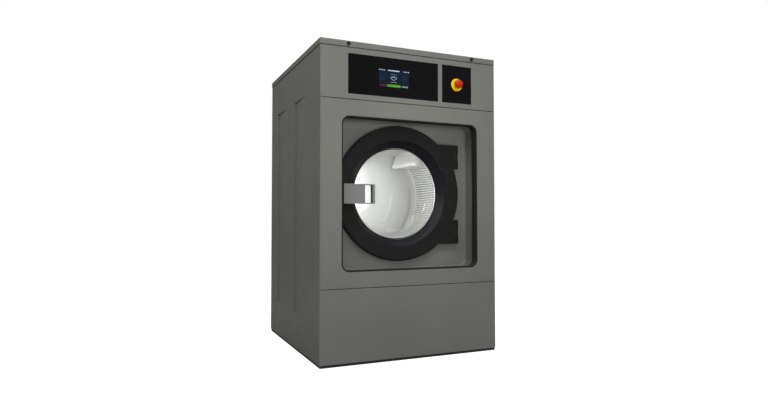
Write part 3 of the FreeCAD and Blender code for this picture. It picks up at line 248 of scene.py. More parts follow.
def spangled(name, dark, light):
    """Zinc coat with the crystal spangle of hot dipping."""
    material, tree, shader, places = empty_finish(name, {"Metallic": 1.0})
    crystals = put(tree, "TexVoronoi", {"Vector": places, "Scale": 110.0})
    tint = put(tree, "SeparateColor", {0: crystals.outputs["Color"]})
    tree.links.new(between(tree, tint.outputs[0], shade(dark), shade(light)), shader.inputs["Base Color"])
    tree.links.new(spread(tree, tint.outputs[1], 0.0, 1.0, 0.36, 0.48), shader.inputs["Roughness"])
    raise_skin(tree, shader, crystals.outputs["Distance"], 0.0001, 0.1)
    return material


def clear_glass(name):
    """Toughened glass that lets the lamps through to the drum, with faint water marks."""
    plain = {"Base Color": (0.99, 0.995, 0.995, 1.0), "Transmission Weight": 1.0, "IOR": 1.46,
             "Specular IOR Level": 0.15}
    material, tree, shader, places = empty_finish(name, plain)
    marks = use(tree, SKIN_GRAIN, {"Vector": places, "Scale": 260.0, "Smooth": 0.0, "Rough": 0.02})
    tree.links.new(marks["Roughness"], shader.inputs["Roughness"])
    lamps = put(tree, "LightPath").outputs["Is Shadow Ray"]
    open_way = put(tree, "BsdfTransparent", {"Color": (0.95, 0.97, 0.97, 1.0)})
    mixed = put(tree, "MixShader", {0: lamps, 1: shader.outputs[0], 2: open_way.outputs[0]})
    tree.links.new(mixed.outputs[0], tree.nodes["Material Output"].inputs["Surface"])
    return material


def lit_screen(name, low, high, strength):
    """Backlit panel whose colour rises from its lower edge to its upper one."""
    plain = {"Base Color": (0.004, 0.006, 0.012, 1.0), "Roughness": 0.12, "Specular IOR Level": 0.25,
             "Emission Strength": strength}
    material, tree, shader, places = empty_finish(name, plain)
    height = put(tree, "SeparateXYZ", {0: places}).outputs["Z"]
    rise = spread(tree, height, SCREEN_LOW, SCREEN_HIGH, 0.0, 1.0)
    glow = between(tree, rise, shade(low), shade(high))
    cells = put(tree, "TexNoise", {"Vector": places, "Scale": 60.0, "Detail": 2.0})
    uneven = spread(tree, cells.outputs["Fac"], *NOISE_RANGE, 0.75, 1.0)
    tree.links.new(between(tree, uneven, BLACK, glow), shader.inputs["Emission Color"])
    return material


GREY_PAINT = finish("grey_powder_coat", "6a6a66", "70706b", (0.42, 0.52), grain=650.0, strength=0.1,
                    dust=0.04)
RECESS_PAINT = finish("recess_powder_coat", "686864", "6e6e69", (0.40, 0.50), grain=650.0, strength=0.1)
FRAME_PAINT = finish("dark_frame_paint", "1d1e20", "26272a", (0.5, 0.62), dust=0.12)
BLACK_STEEL = finish("black_enamel", "1a1b1c", "232426", (0.35, 0.5), dust=0.12)
BLACK_PLASTIC = finish("moulded_black", "161616", "1c1c1d", (0.46, 0.56), grain=1700.0, strength=0.16,
                       dust=0.03)
RING_PLASTIC = finish("door_ring_black", "1a1a1a", "1f1f1f", (0.48, 0.58), grain=1700.0, strength=0.16,
                      dust=0.02, Specular_IOR_Level=0.25)
GLOSS_BLACK = finish("funnel_satin", "101014", "141419", (0.42, 0.52), grain=300.0, strength=0.03,
                     Specular_IOR_Level=0.3)
BLACK_GLASS = finish("printed_black_glass", "060607", "0a0a0c", (0.07, 0.16), grain=120.0, strength=0.01,
                     Specular_IOR_Level=0.25)
HANDLE_GREY = finish("handle_grey_lacquer", "6f706f", "787978", (0.32, 0.42), grain=1300.0, strength=0.08)
WHITE_PLASTIC = finish("moulded_white", "cfcfc8", "dcdcd6", (0.42, 0.55), grain=1200.0, dust=0.1)
RED_PLASTIC = finish("stop_head_red", "b5120d", "c81a12", (0.25, 0.36), strength=0.05, Coat_Weight=0.2)
YELLOW_PLASTIC = finish("stop_collar_yellow", "d9b400", "e8c40a", (0.3, 0.42), strength=0.05)
RUBBER = finish("black_rubber_skin", "121212", "1a1a1a", (0.62, 0.8), grain=1400.0, dust=0.1)
CAST_IRON = finish("cast_iron_skin", "2b2b2c", "3a3a3b", (0.5, 0.7), grain=420.0, depth=0.0006, strength=0.5,
                   Metallic=0.7)
CAST_ALUMINIUM = finish("cast_aluminium_skin", "8c8e90", "a2a4a6", (0.42, 0.58), grain=420.0, depth=0.0005,
                        strength=0.4, Metallic=0.9)
# The tub's steel is painted dark as shade, so the sheet seen through the drum's holes stays dark
TUB_STEEL = brushed("pickled_tub_steel", "262728", "303132", (0.45, 0.6), (6.0, 6.0, 240.0))
STAINLESS = brushed("rolled_stainless", "b9bbbc", "d2d4d4", (0.26, 0.40), (6.0, 6.0, 240.0))
# The drum wall's and lifters' steel is painted lighter than the back's: the direction of the lines is real,
# the lighter tone is painted light for a wall the lamps reach only at a grazing angle
DRUM_STEEL = brushed("rolled_drum_steel", "d6d7d4", "e2e2df", (0.42, 0.50), (3.0, 420.0, 3.0), strength=0.05,
                     metallic=0.45)
PRESSED_STEEL = brushed("pressed_drum_steel", "b8b9b6", "c6c6c3", (0.40, 0.48), (420.0, 1.0, 1.0),
                        strength=0.05, centre=(-0.020, 0.0, 0.748), metallic=0.5)
BEARING_STEEL = brushed("ground_steel", "9a9c9e", "b6b8ba", (0.2, 0.32), (30.0, 400.0, 30.0))
CHROME = brushed("hard_chrome", "c9cbcd", "dcdee0", (0.08, 0.16), (20.0, 20.0, 300.0))
BRASS = finish("dull_brass", "a87f3a", "c29a52", (0.3, 0.46), grain=700.0, Metallic=1.0)
ZINC = spangled("galvanised_sheet", "999da0", "adb1b4")
DOOR_GLASS = clear_glass("toughened_bowl_glass")
SCREEN = lit_screen("display_backlight", "04101c", "08263a", 0.6)
SCREEN_MARKS = lit_screen("display_symbols", "8fb8c8", "dcecf2", 0.85)
SCREEN_DIM = lit_screen("display_dim_symbols", "1d4a5c", "2c6076", 0.6)
SCREEN_KEY = lit_screen("display_start_key", "5aa51e", "7cc52e", 1.0)
SCREEN_WARM = lit_screen("display_warm_key", "a3283a", "b8485a", 0.5)

FINISHES = {
    "grey_paint": GREY_PAINT, "dark_frame": FRAME_PAINT, "black_steel": BLACK_STEEL, "galvanised": ZINC,
    "stainless": STAINLESS, "bearing_steel": BEARING_STEEL, "chromed": CHROME, "cast_iron": CAST_IRON,
    "cast_aluminium": CAST_ALUMINIUM, "brass": BRASS, "black_plastic": BLACK_PLASTIC,
    "dark_gloss": GLOSS_BLACK, "white_plastic": WHITE_PLASTIC, "handle_grey": HANDLE_GREY,
    "red_plastic": RED_PLASTIC, "yellow_plastic": YELLOW_PLASTIC, "display": SCREEN,
    "black_glass": BLACK_GLASS, "door_glass": DOOR_GLASS, "black_rubber": RUBBER,
}


# Shapes

FLAT_LIMIT = 0.4
BEND_ANGLE = 40.0
BEND_ROOM = 2.2
CORNER_STEPS = 8


def slot_of(node):
    """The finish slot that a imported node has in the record."""
    return frame["nodes"][node].data.materials[0].name.split(".")[0]


NODE_SLOTS = {node: slot_of(node) for node in frame["nodes"]}


def piece(name, bm, body, slot, *finishes, stands_for=(), crease=35.0):
    """A finished object from a mesh in the making; without a body it is left free for a blend."""
    mesh = bpy.data.meshes.new(name)
    bm.to_mesh(mesh)
    bm.free()
    for material in finishes or (FINISHES[slot],):
        mesh.materials.append(material)
    mesh.shade_smooth()
    mesh.set_sharp_from_angle(angle=radians(crease))
    made = bpy.data.objects.new(name, mesh)
    bpy.context.scene.collection.objects.link(made)
    if body:
        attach(made, body)
    if stands_for:
        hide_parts(*stands_for)
    return made


def round_off(bm, corners, width, steps, affect="EDGES"):
    """Rounds edges, or the corners of an outline, by a width."""
    bmesh.ops.bevel(bm, geom=corners, offset=width * MM, segments=steps, profile=0.5, affect=affect,
                    material=-1)


def mark_bends(bm, width):
    """Marks the edges between faces that are both wide enough for a radius; thin sheet edges stay crisp."""
    weight = bm.edges.layers.float.new("bevel_weight_edge")
    for edge in bm.edges:
        if len(edge.link_faces) == 2 and edge.calc_face_angle() > radians(BEND_ANGLE):
            narrowest = min(2.0 * face.calc_area() / face.calc_perimeter() for face in edge.link_faces)
            edge[weight] = 1.0 if narrowest > BEND_ROOM * width * MM else 0.0


def thicken(made, wall):
    """Sheet thickness behind the face that shows."""
    sheet = made.modifiers.new("sheet_thickness", "SOLIDIFY")
    sheet.thickness = wall * MM
    sheet.offset = -1.0
    sheet.use_even_offset = True
    return made


def even_faces(made):
    """Keeps wide flat faces flat beside their rounded edges."""
    even = made.modifiers.new("flat_faces", "WEIGHTED_NORMAL")
    even.keep_sharp = True
    return made


def node_shape(node):
    """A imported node's own shape as a mesh in the making, with each flat face whole."""
    bm = bmesh.new()
    bm.from_mesh(frame["nodes"][node].data)
    bmesh.ops.remove_doubles(bm, verts=bm.verts, dist=TOUCHING)
    bmesh.ops.dissolve_limit(bm, angle_limit=radians(FLAT_LIMIT), verts=bm.verts, edges=bm.edges)
    return bm


def formed(node, name, width, steps=2, material=None, crease=35.0):
    """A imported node's own shape with the bend radii and soft edges of the real piece."""
    bm = node_shape(node)
    mark_bends(bm, width)
    slot = NODE_SLOTS[node]
    body = frame["nodes"][node]["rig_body"]
    made = piece(name, bm, body, slot, material or FINISHES[slot], stands_for=(node,), crease=crease)
    bend = made.modifiers.new("bend_radius", "BEVEL")
    bend.width = width * MM
    bend.segments = steps
    bend.limit_method = "WEIGHT"
    bend.harden_normals = True
    return made


def paint(bm, index):
    """Gives every face of a mesh in the making one of its piece's finishes."""
    for face in bm.faces:
        face.material_index = index
    return bm


def joined(parts):
    """Several meshes in the making as one."""
    whole = bmesh.new()
    for part in parts:
        mesh = bpy.data.meshes.new("joining")
        part.to_mesh(mesh)
        part.free()
        whole.from_mesh(mesh)
        bpy.data.meshes.remove(mesh)
    return whole


def aim(bm, target):
    """Turns an open sheet's faces to look towards a point."""
    bmesh.ops.recalc_face_normals(bm, faces=bm.faces)
    looks = sum(face.normal.dot(target - face.calc_center_median()) * face.calc_area() for face in bm.faces)
    if looks < 0.0:
        bmesh.ops.reverse_faces(bm, faces=bm.faces)
    return bm


def turned(points, centre, steps=96, ring=False, axis="Y", round_steps=4):
    """A profile of (radius, place, rounding) corners spun about an axis along Y or Z."""
    bm = bmesh.new()
    corners = [bm.verts.new((point[0] * MM, point[1] * MM, 0.0)) for point in points]
    runs = list(zip(corners, corners[1:]))
    if ring:
        runs.append((corners[-1], corners[0]))
    for run in runs:
        bm.edges.new(run)
    for corner, point in zip(corners, points):
        if len(point) > 2:
            round_off(bm, [corner], point[2], round_steps, "VERTICES")
    bmesh.ops.spin(bm, geom=bm.verts[:] + bm.edges[:], cent=(0.0, 0.0, 0.0), axis=(0.0, 1.0, 0.0),
                   angle=2 * pi, steps=steps, use_merge=True)
    bmesh.ops.remove_doubles(bm, verts=bm.verts, dist=TOUCHING)
    bmesh.ops.recalc_face_normals(bm, faces=bm.faces)
    if axis == "Y":
        place = Matrix.Translation((centre[0] * MM, 0.0, centre[1] * MM))
    else:
        place = Matrix.Translation((centre[0] * MM, centre[1] * MM, 0.0)) @ Matrix.Rotation(pi / 2, 4, "X")
    bmesh.ops.transform(bm, matrix=place, verts=bm.verts)
    return bm


def slab(low, high, rounding=0.0, steps=2):
    """A block with rounded edges."""
    bm = bmesh.new()
    low, high = Vector(low) * MM, Vector(high) * MM
    bmesh.ops.create_cube(bm, size=1.0, matrix=Matrix.LocRotScale((low + high) / 2, None, high - low))
    if rounding:
        round_off(bm, bm.edges[:], rounding, steps)
    return bm


def inset(outline, by, y):
    """A station at a depth, inside a (half width, low, high, corner) outline by the same amount all round."""
    half, low, high, corner = outline
    return half - by, low + by, high - by, y, corner - by


def rounded_loop(half, low, high, y, corner):
    """Edges of a rounded rectangle that faces the front."""
    bm = bmesh.new()
    places = ((-half, low), (half, low), (half, high), (-half, high))
    corners = [bm.verts.new((x * MM, y * MM, z * MM)) for x, z in places]
    bm.faces.new(corners)
    round_off(bm, corners, corner, CORNER_STEPS, "VERTICES")
    bmesh.ops.delete(bm, geom=bm.faces[:], context="FACES_ONLY")
    return bm


def framed(stations, closed=False):
    """A band round a rounded rectangle through (half width, low, high, depth, corner) stations."""
    bm = joined([rounded_loop(*station) for station in stations])
    count = len(bm.edges) // len(stations)
    loops = [bm.edges[first:first + count] for first in range(0, len(bm.edges), count)]
    pairs = list(zip(loops, loops[1:]))
    if closed:
        pairs.append((loops[-1], loops[0]))
    for first, second in pairs:
        bmesh.ops.bridge_loops(bm, edges=first + second)
    return bm


# Cabinet

SHEET_BENDS = {"control_fascia": 1.6, "front_panel": 1.6, "lower_front_panel": 1.6, "top_lid": 2.4,
               "left_side_panel": 1.6, "right_side_panel": 1.6}
FRONT_OPENING = (342.4, 399.1, 1076.9, 35.9)
SEAL_SECTION = ((0.0, -452.6), (5.8, -452.6), (6.8, -450.8), (6.2, -448.6), (3.2, -445.0), (3.2, -434.0),
                (5.6, -426.0), (5.6, -416.0), (3.2, -410.4), (0.0, -410.4))
LID_CAP = ((0.0, -457.2), (4.2, -457.2), (4.6, -459.6, 0.5), (7.4, -460.3, 0.8), (9.0, -458.6, 1.2),
           (9.0, -455.3), (0.0, -455.3))
LID_CAP_HEIGHT = 1391.0


def make_cabinet():
    """Formed sheet panels with bend radii, the seal round the front opening and the lid's screw caps."""
    for node, width in SHEET_BENDS.items():
        formed(node, node + "_sheet", width, 3, crease=4.0)
    formed("base_frame", "base_frame_welded", 1.5)
    seal = framed([inset(FRONT_OPENING, by, y) for by, y in SEAL_SECTION], closed=True)
    bmesh.ops.recalc_face_normals(seal, faces=seal.faces)
    piece("opening_seal_bulb", seal, "cabinet", "black_rubber", stands_for=("opening_seal",))
    caps = [turned(LID_CAP, (x, LID_CAP_HEIGHT), steps=40) for x in (-313.0, 313.0)]
    piece("lid_screw_caps", joined(caps), "cabinet", "black_plastic", stands_for=("lid_caps",))


# Controls

SCREEN_BLOCK = ((-175.0, -455.4, 1210.0), (-18.0, -451.5, 1300.0))
LIT_AREA = ((-169.0, -455.44, 1219.0), (-22.0, -455.3, 1299.0))
MARK_FRONT, MARK_BACK = -455.48, -455.36
COLLAR = ((10.8, -455.5), (10.8, -458.0, 0.4), (26.6, -458.5, 0.8), (29.6, -456.4, 0.8), (30.0, -455.5))
MUSHROOM_HEAD = ((0.0, -488.5), (9.0, -488.2, 6.0), (15.8, -485.4, 3.0), (20.0, -479.0, 2.5),
                 (20.0, -472.6, 2.0), (17.0, -468.0, 1.0), (15.6, -466.5, 0.6), (8.1, -466.5),
                 (8.1, -481.5), (0.0, -481.5))


def mark(x0, z0, x1, z1, rounding):
    """A rounded bar on the screen."""
    bm = slab((x0, MARK_FRONT, z0), (x1, MARK_BACK, z1))
    corners = [e for e in bm.edges if abs((e.verts[0].co - e.verts[1].co).normalized().y) > 0.9]
    round_off(bm, corners, rounding, 3)
    return bm


def mark_row(places, width, low, high, rounding):
    """Equal bars side by side on the screen."""
    return [mark(x, low, x + width, high, rounding) for x in places]


def tub_symbol(x, z, size):
    """A round tub with water in it and drops over it."""
    inner = size * 0.86
    brim = z + size * 0.25
    profile = ((inner, MARK_FRONT), (size, MARK_FRONT), (size, MARK_BACK), (inner, MARK_BACK))
    rim = turned(profile, (x, z), steps=24, ring=True)
    bmesh.ops.delete(rim, geom=[v for v in rim.verts if v.co.z > brim * MM], context="VERTS")
    bmesh.ops.holes_fill(rim, edges=rim.edges[:], sides=4)
    water = mark(x - size * 0.55, z - size * 0.12, x + size * 0.55, z + size * 0.1, size * 0.08)
    low = z + size * 0.62
    falls = [x + size * share for share in (-0.75, -0.25, 0.25, 0.75)]
    drops = [mark(fall - 1.2, low, fall + 1.2, low + 2.6, 1.0) for fall in falls]
    return [rim, water] + drops


def make_controls():
    """Control glass with its lit screen, and the emergency stop."""
    formed("control_glass", "control_glass_pane", 0.5)
    formed("estop_plate", "estop_glass_pane", 0.5)
    screen = slab(*SCREEN_BLOCK, 0.3)
    made = piece("display_screen", screen, "cabinet", "display", BLACK_GLASS, stands_for=("display_module",))
    even_faces(made)
    piece("display_lit_area", slab(*LIT_AREA), "cabinet", "display", SCREEN)

    bright = [mark(-125.0, 1291.0, -68.0, 1295.5, 1.5)]
    bright += mark_row((-169.0, -158.0, -147.0, -49.0, -38.0, -27.0), 7.0, 1291.5, 1295.0, 1.2)
    bright += tub_symbol(-96.5, 1265.0, 15.0)
    bright += mark_row((-56.0, -45.0, -34.0), 8.0, 1221.5, 1228.0, 1.5)
    bright += mark_row((-110.0, -100.0, -90.0), 7.0, 1240.0, 1242.4, 0.8)
    piece("display_symbols_bright", joined(bright), "cabinet", "display", SCREEN_MARKS)
    dim = tub_symbol(-150.0, 1259.0, 10.5) + tub_symbol(-43.0, 1259.0, 10.5)
    piece("display_symbols_dim", joined(dim), "cabinet", "display", SCREEN_DIM)
    start_key = mark(-128.0, 1219.6, -63.0, 1230.6, 2.0)
    piece("display_start_key", start_key, "cabinet", "display", SCREEN_KEY)
    warm = mark_row((-164.0, -153.0, -142.0), 8.0, 1221.5, 1228.0, 1.5)
    piece("display_warm_keys", joined(warm), "cabinet", "display", SCREEN_WARM)

    collar = turned(COLLAR, STOP_AXIS, steps=72, ring=True)
    piece("estop_collar_ring", collar, "cabinet", "yellow_plastic", stands_for=("estop_collar",))
    head = turned(MUSHROOM_HEAD, STOP_AXIS, steps=72)
    piece("estop_mushroom_head", head, "stop_head", "red_plastic", stands_for=("estop_head",))


# Door and its surround

RECESS = (352.0, 392.0, 1084.0, 40.0)
TRAY_WALL, TRAY_BEND, TRAY_BEND_START = 2.0, 14.0, -346.0
TRAY_FLOOR, TRAY_MOUTH = -332.0, 260.0
MOUTH_GASKET = ((259.8, -332.2, 1.0), (253.0, -332.2, 1.5), (250.2, -329.6, 1.2), (253.2, -327.4, 1.2),
                (250.2, -325.2, 1.2), (253.0, -322.7, 1.0), (259.8, -322.7, 1.0))
FUNNEL = ((247.8, -346.6, 1.0), (238.0, -338.0, 8.0), (223.0, -321.0, 8.0), (216.2, -313.0, 2.0),
          (216.2, -306.1), (240.0, -306.1), (240.0, -332.7), (247.8, -332.7))
BOWL = ((0.0, -236.0), (150.0, -239.5, 16.0), (192.0, -261.5, 14.0), (211.0, -306.0), (231.0, -306.0, 1.0),
        (231.0, -300.0, 1.0), (217.0, -300.0, 3.0), (198.4, -258.4, 18.0), (153.0, -233.5, 18.0),
        (0.0, -230.0))
GRIP_LEFT, GRIP_RIGHT, GRIP_LOW, GRIP_HIGH = -220.0, -180.0, 698.0, 782.0


def make_surround():
    """Painted recess that carries the door, with rounded walls and a round mouth, and the mouth's gasket."""
    stations = [inset(RECESS, -14.0, -409.7), inset(RECESS, -1.0, -409.7), inset(RECESS, 0.0, -408.7)]
    for turn in range(0, 91, 15):
        by = TRAY_WALL + TRAY_BEND * (1.0 - cos(radians(turn)))
        stations.append(inset(RECESS, by, TRAY_BEND_START + TRAY_BEND * sin(radians(turn))))
    bm = framed(stations)
    floor_y = TRAY_FLOOR * MM
    border = [e for e in bm.edges if len(e.link_faces) == 1 and abs(e.verts[0].co.y - floor_y) < TOUCHING]
    place = Matrix.Translation((WASH_AXIS[0] * MM, floor_y, WASH_AXIS[1] * MM))
    facing = place @ Matrix.Rotation(pi / 2, 4, "X")
    hole = bmesh.ops.create_circle(bm, segments=128, radius=TRAY_MOUTH * MM, matrix=facing)
    rim = [e for e in bm.edges if all(v in hole["verts"] for v in e.verts)]
    bmesh.ops.triangle_fill(bm, use_beauty=True, edges=border + rim)
    aim(bm, Vector((0.0, -2000.0, 748.0)) * MM)
    tray = piece("door_surround_tray", bm, "wash_group", "grey_paint", RECESS_PAINT,
                 stands_for=("door_surround",))
    thicken(tray, TRAY_WALL)
    gasket = turned(MOUTH_GASKET, WASH_AXIS, steps=128, ring=True)
    piece("mouth_gasket_lip", gasket, "wash_group", "black_rubber", stands_for=("mouth_gasket",))


def make_door():
    """Moulded ring, satin funnel, glass bowl, loop handle, hinge knuckles and lock keeper."""
    formed("door_ring", "door_ring_moulding", 3.0, 4, RING_PLASTIC)
    funnel = turned(FUNNEL, WASH_AXIS, steps=128, ring=True)
    piece("door_funnel", funnel, "door", "dark_gloss", stands_for=("door_inner_ring",))
    bowl = turned(BOWL, WASH_AXIS, steps=128, round_steps=6)
    piece("door_bowl", bowl, "door", "door_glass", stands_for=("door_glass",))
    handle = formed("door_handle", "door_pull_handle", 1.4, 3)
    # The side faces inside the grip window get the black plastic, which stands in for the shade inside the
    # loop
    handle.data.materials.append(BLACK_PLASTIC)
    for face in handle.data.polygons:
        x, z = face.center.x / MM, face.center.z / MM
        in_grip = GRIP_LEFT < x < GRIP_RIGHT and GRIP_LOW < z < GRIP_HIGH
        if in_grip and abs(face.normal.y) < 0.5:
            face.material_index = 1
    formed("hinge_knuckles", "hinge_knuckle_blocks", 0.5, 2, RING_PLASTIC)
    formed("lock_keeper", "lock_keeper_block", 1.5, 3)


# Drum

ROW_STEP = 360.0 / 168
WALL_ROWS = 46
STRIP_ROWS = 10
STRIP_COLUMNS = 4
LIFTER_PLACES = (39.0, 159.0, 279.0)
WALL_RADIUS, WALL_END = 354.0, 204.0
WALL_SHEET, BAND_SHEET, BACK_SHEET, LIFTER_SHEET = 0.8, 1.9, 3.0, 1.5
PRESSED_CREASE = 60.0
HOLE_FRONT, HOLE_BACK, HOLE_COLUMNS = -280.0, 172.0, 30
SLOT_ACROSS, SLOT_ALONG, SLOT_REACH = 6.0, 11.6, 0.6
ROW_PITCH = WALL_RADIUS * radians(ROW_STEP)
DRUM_MOUTH = ((266.0, -306.0), (262.3, -310.0, 3.0), (264.0, -315.8, 3.0), (350.0, -314.2, 6.0),
              (WALL_RADIUS, -306.0, 4.0), (WALL_RADIUS, HOLE_FRONT))
SLOPE_RADIUS, SLOPE_START, SLOPE = 130.0, 192.0, 0.023
BACK_HUB = [(0.0, 177.4), (78.0, 177.4, 14.0), (SLOPE_RADIUS, SLOPE_START, 22.0)]
BACK_RIM = [(342.0, 196.6, 6.0), (353.4, 186.0)]
BACK_ROWS = (188.0, 192.0, 196.0, 200.0, 204.0, 208.0, 212.0, 216.0, 240.0, 270.0, 300.0, 314.0, 318.0, 322.0,
             326.0, 330.0)
PANEL_PITCH, PANEL_LEAD, PANEL_HALF = 120.0, 115.0, 26.0
PANEL_INNER, PANEL_OUTER = 194.0, 330.0
PANEL_RAMP, PANEL_HEIGHT = 16.0, 6.0
LIFTER_SECTION = ((-65.0, 348.6), (-47.0, 330.0), (-20.0, 286.0), (-11.0, 270.0), (0.0, 266.0), (11.0, 270.0),
                  (20.0, 286.0), (47.0, 330.0), (65.0, 348.6))
LIFTER_NOSE = ((-76.0, 1.0, 1.0), (-104.0, 0.97, 0.985), (-120.0, 0.9, 0.93), (-128.0, 0.8, 0.8),
               (-132.0, 0.7, 0.55))
LIFTER_FOOT, LIFTER_BACK = 349.0, 192.0


def pierce(bm, rows, columns, cell):
    """Opens an oblong hole in the middle of each cell of a square sheet."""
    middles = [v for v in bm.verts if round((v.co.x + 0.5) * 2 * rows) % 2
               and round((v.co.y + 0.5) * 2 * columns) % 2]
    flat = Matrix.Diagonal((rows * cell.x, columns * cell.y, 1.0, 1.0))
    bmesh.ops.transform(bm, matrix=flat, verts=bm.verts)
    made = bmesh.ops.bevel(bm, geom=middles, offset=SLOT_ACROSS / 2, segments=2, profile=0.5,
                           affect="VERTICES", material=-1)
    bmesh.ops.delete(bm, geom=made["faces"], context="FACES")
    for v in bm.verts:
        across = (floor(v.co.x / cell.x + rows / 2) + 0.5 - rows / 2) * cell.x
        along = (floor(v.co.y / cell.y + columns / 2) + 0.5 - columns / 2) * cell.y
        middle = Vector((across, along, 0.0))
        aside = v.co - middle
        if aside.length < SLOT_ACROSS * SLOT_REACH:
            aside.normalize()
            reach = (abs(aside.x) ** 3 + abs(aside.y) ** 3) ** (-1 / 3)
            edge = Vector((aside.x * reach * SLOT_ACROSS / 2, aside.y * reach * SLOT_ALONG / 2, 0.0))
            v.co = middle + edge
    bmesh.ops.transform(bm, matrix=flat.inverted(), verts=bm.verts)


def rolled(start, rows, columns, pierced=False):
    """Sheet rolled to the drum's radius from an angle onwards, plain or pierced."""
    bm = bmesh.new()
    bmesh.ops.create_grid(bm, x_segments=2 * rows, y_segments=2 * columns, size=0.5)
    length = HOLE_BACK - HOLE_FRONT
    if pierced:
        pierce(bm, rows, columns, Vector((ROW_PITCH, length / columns, 1.0)))
    for v in bm.verts:
        angle = radians(start + (v.co.x + 0.5) * rows * ROW_STEP)
        x = WASH_AXIS[0] + WALL_RADIUS * cos(angle)
        y = HOLE_FRONT + (v.co.y + 0.5) * length
        z = WASH_AXIS[1] + WALL_RADIUS * sin(angle)
        v.co = (x * MM, y * MM, z * MM)
    return aim(bm, DRUM_MIDDLE)


def make_drum_wall():
    """Pierced wall between the lifters, plain strips under them, rolled mouth and tail."""
    half_strip = ROW_STEP * STRIP_ROWS / 2
    plain = []
    for number, place in enumerate(LIFTER_PLACES, start=1):
        wall = rolled(place + half_strip, WALL_ROWS, HOLE_COLUMNS, pierced=True)
        thicken(piece(f"drum_pierced_wall_{number}", wall, "drum", "stainless", DRUM_STEEL), WALL_SHEET)
        plain.append(rolled(place - half_strip, STRIP_ROWS, STRIP_COLUMNS))
    mouth = turned(DRUM_MOUTH, WASH_AXIS, steps=180)
    tail = turned(((WALL_RADIUS, HOLE_BACK), (WALL_RADIUS, WALL_END)), WASH_AXIS, steps=180)
    plain += [aim(mouth, DRUM_MIDDLE), aim(tail, DRUM_MIDDLE)]
    bands = piece("drum_mouth_and_bands", joined(plain), "drum", "stainless", DRUM_STEEL,
                  stands_for=("drum_shell",))
    thicken(bands, BAND_SHEET)


def make_drum_back():
    """Dished back with three raised panels."""
    slope = [(r, SLOPE_START + (r - SLOPE_RADIUS) * SLOPE) for r in BACK_ROWS]
    back = turned(BACK_HUB + slope + BACK_RIM, WASH_AXIS, steps=300)
    for v in back.verts:
        x, z = v.co.x / MM - WASH_AXIS[0], v.co.z / MM - WASH_AXIS[1]
        radius, angle = hypot(x, z), degrees(atan2(z, x))
        aside = abs((angle - LIFTER_PLACES[0] + PANEL_LEAD) % PANEL_PITCH - PANEL_PITCH / 2)
        inwards = min((radius - PANEL_INNER) / PANEL_RAMP, (PANEL_OUTER - radius) / PANEL_RAMP,
                      (PANEL_HALF - aside) * radians(radius) / PANEL_RAMP)
        rise = min(1.0, max(0.0, inwards))
        v.co.y -= PANEL_HEIGHT * MM * rise * rise * (3.0 - 2.0 * rise)
    aim(back, DRUM_MIDDLE)
    made = piece("drum_pressed_back", back, "drum", "stainless", PRESSED_STEEL, stands_for=("drum_back",),
                 crease=PRESSED_CREASE)
    thicken(made, BACK_SHEET)


def lifter(place):
    """Open rib drawn from the drum's back to its rounded nose, at an angle round the drum."""
    bm = bmesh.new()
    corners = [bm.verts.new((r * MM, LIFTER_BACK * MM, t * MM)) for t, r in LIFTER_SECTION]
    edges = [bm.edges.new(run) for run in zip(corners, corners[1:])]
    for y, narrow, height in LIFTER_NOSE:
        grown = bmesh.ops.extrude_edge_only(bm, edges=edges)["geom"]
        edges = [g for g in grown if isinstance(g, bmesh.types.BMEdge) and all(v in grown for v in g.verts)]
        loop = [g for g in grown if isinstance(g, bmesh.types.BMVert)]
        loop.sort(key=lambda v: v.co.z)
        for v, (t, r) in zip(loop, LIFTER_SECTION):
            v.co = ((LIFTER_FOOT - (LIFTER_FOOT - r) * height) * MM, y * MM, t * narrow * MM)
    bm.faces.new(loop)
    bmesh.ops.rotate(bm, verts=bm.verts, matrix=Matrix.Rotation(-radians(place), 3, "Y"))
    bmesh.ops.translate(bm, verts=bm.verts, vec=(WASH_AXIS[0] * MM, 0.0, WASH_AXIS[1] * MM))
    return aim(bm, DRUM_MIDDLE)


def make_drum_lifters():
    """Three lifters with pressed curves."""
    lifters = joined([lifter(place) for place in LIFTER_PLACES])
    made = piece("drum_lifter_ribs", lifters, "drum", "stainless", DRUM_STEEL, stands_for=("drum_lifters",),
                 crease=PRESSED_CREASE)
    thicken(made, LIFTER_SHEET)
    curves = made.modifiers.new("pressed_curves", "SUBSURF")
    curves.levels = curves.render_levels = 2


# Rubber pieces of the suspension, the drain and the shaft

BUFFER_RUBBER = ((0.0, 90.0), (36.0, 90.0, 2.0), (39.0, 101.0, 5.0), (31.0, 112.0, 5.0), (37.0, 122.0, 5.0),
                 (30.0, 130.0, 5.0), (37.0, 138.0, 5.0), (31.0, 148.0, 5.0), (39.0, 159.0, 5.0),
                 (36.0, 169.6, 2.0), (0.0, 169.6))
BUFFER_FOOT = ((0.0, 85.1), (40.0, 85.1, 0.8), (40.0, 90.2, 0.8), (0.0, 90.2))
BUFFER_CAP = ((0.0, 169.4), (40.0, 169.4, 0.8), (40.0, 174.6, 0.8), (0.0, 174.6))
FOLD_PITCH, FOLD_ROUNDING = 9.0, 2.6
SHAFT_LIP = ((60.8, 245.1, 0.8), (60.8, 250.9, 0.8), (52.0, 250.9, 1.0), (50.0, 248.0, 1.0),
             (38.0, 248.0, 1.0), (36.0, 250.6, 0.6), (30.4, 249.0, 0.4), (33.0, 245.4, 0.8),
             (40.0, 245.1, 0.8))


def folds(first, step, inner, outer):
    """Seven inner and six outer corners of a bellows wall, one pitch apart."""
    radii = (inner, outer) * 6 + (inner,)
    return [(radius, first + step * number, FOLD_ROUNDING) for number, radius in enumerate(radii)]


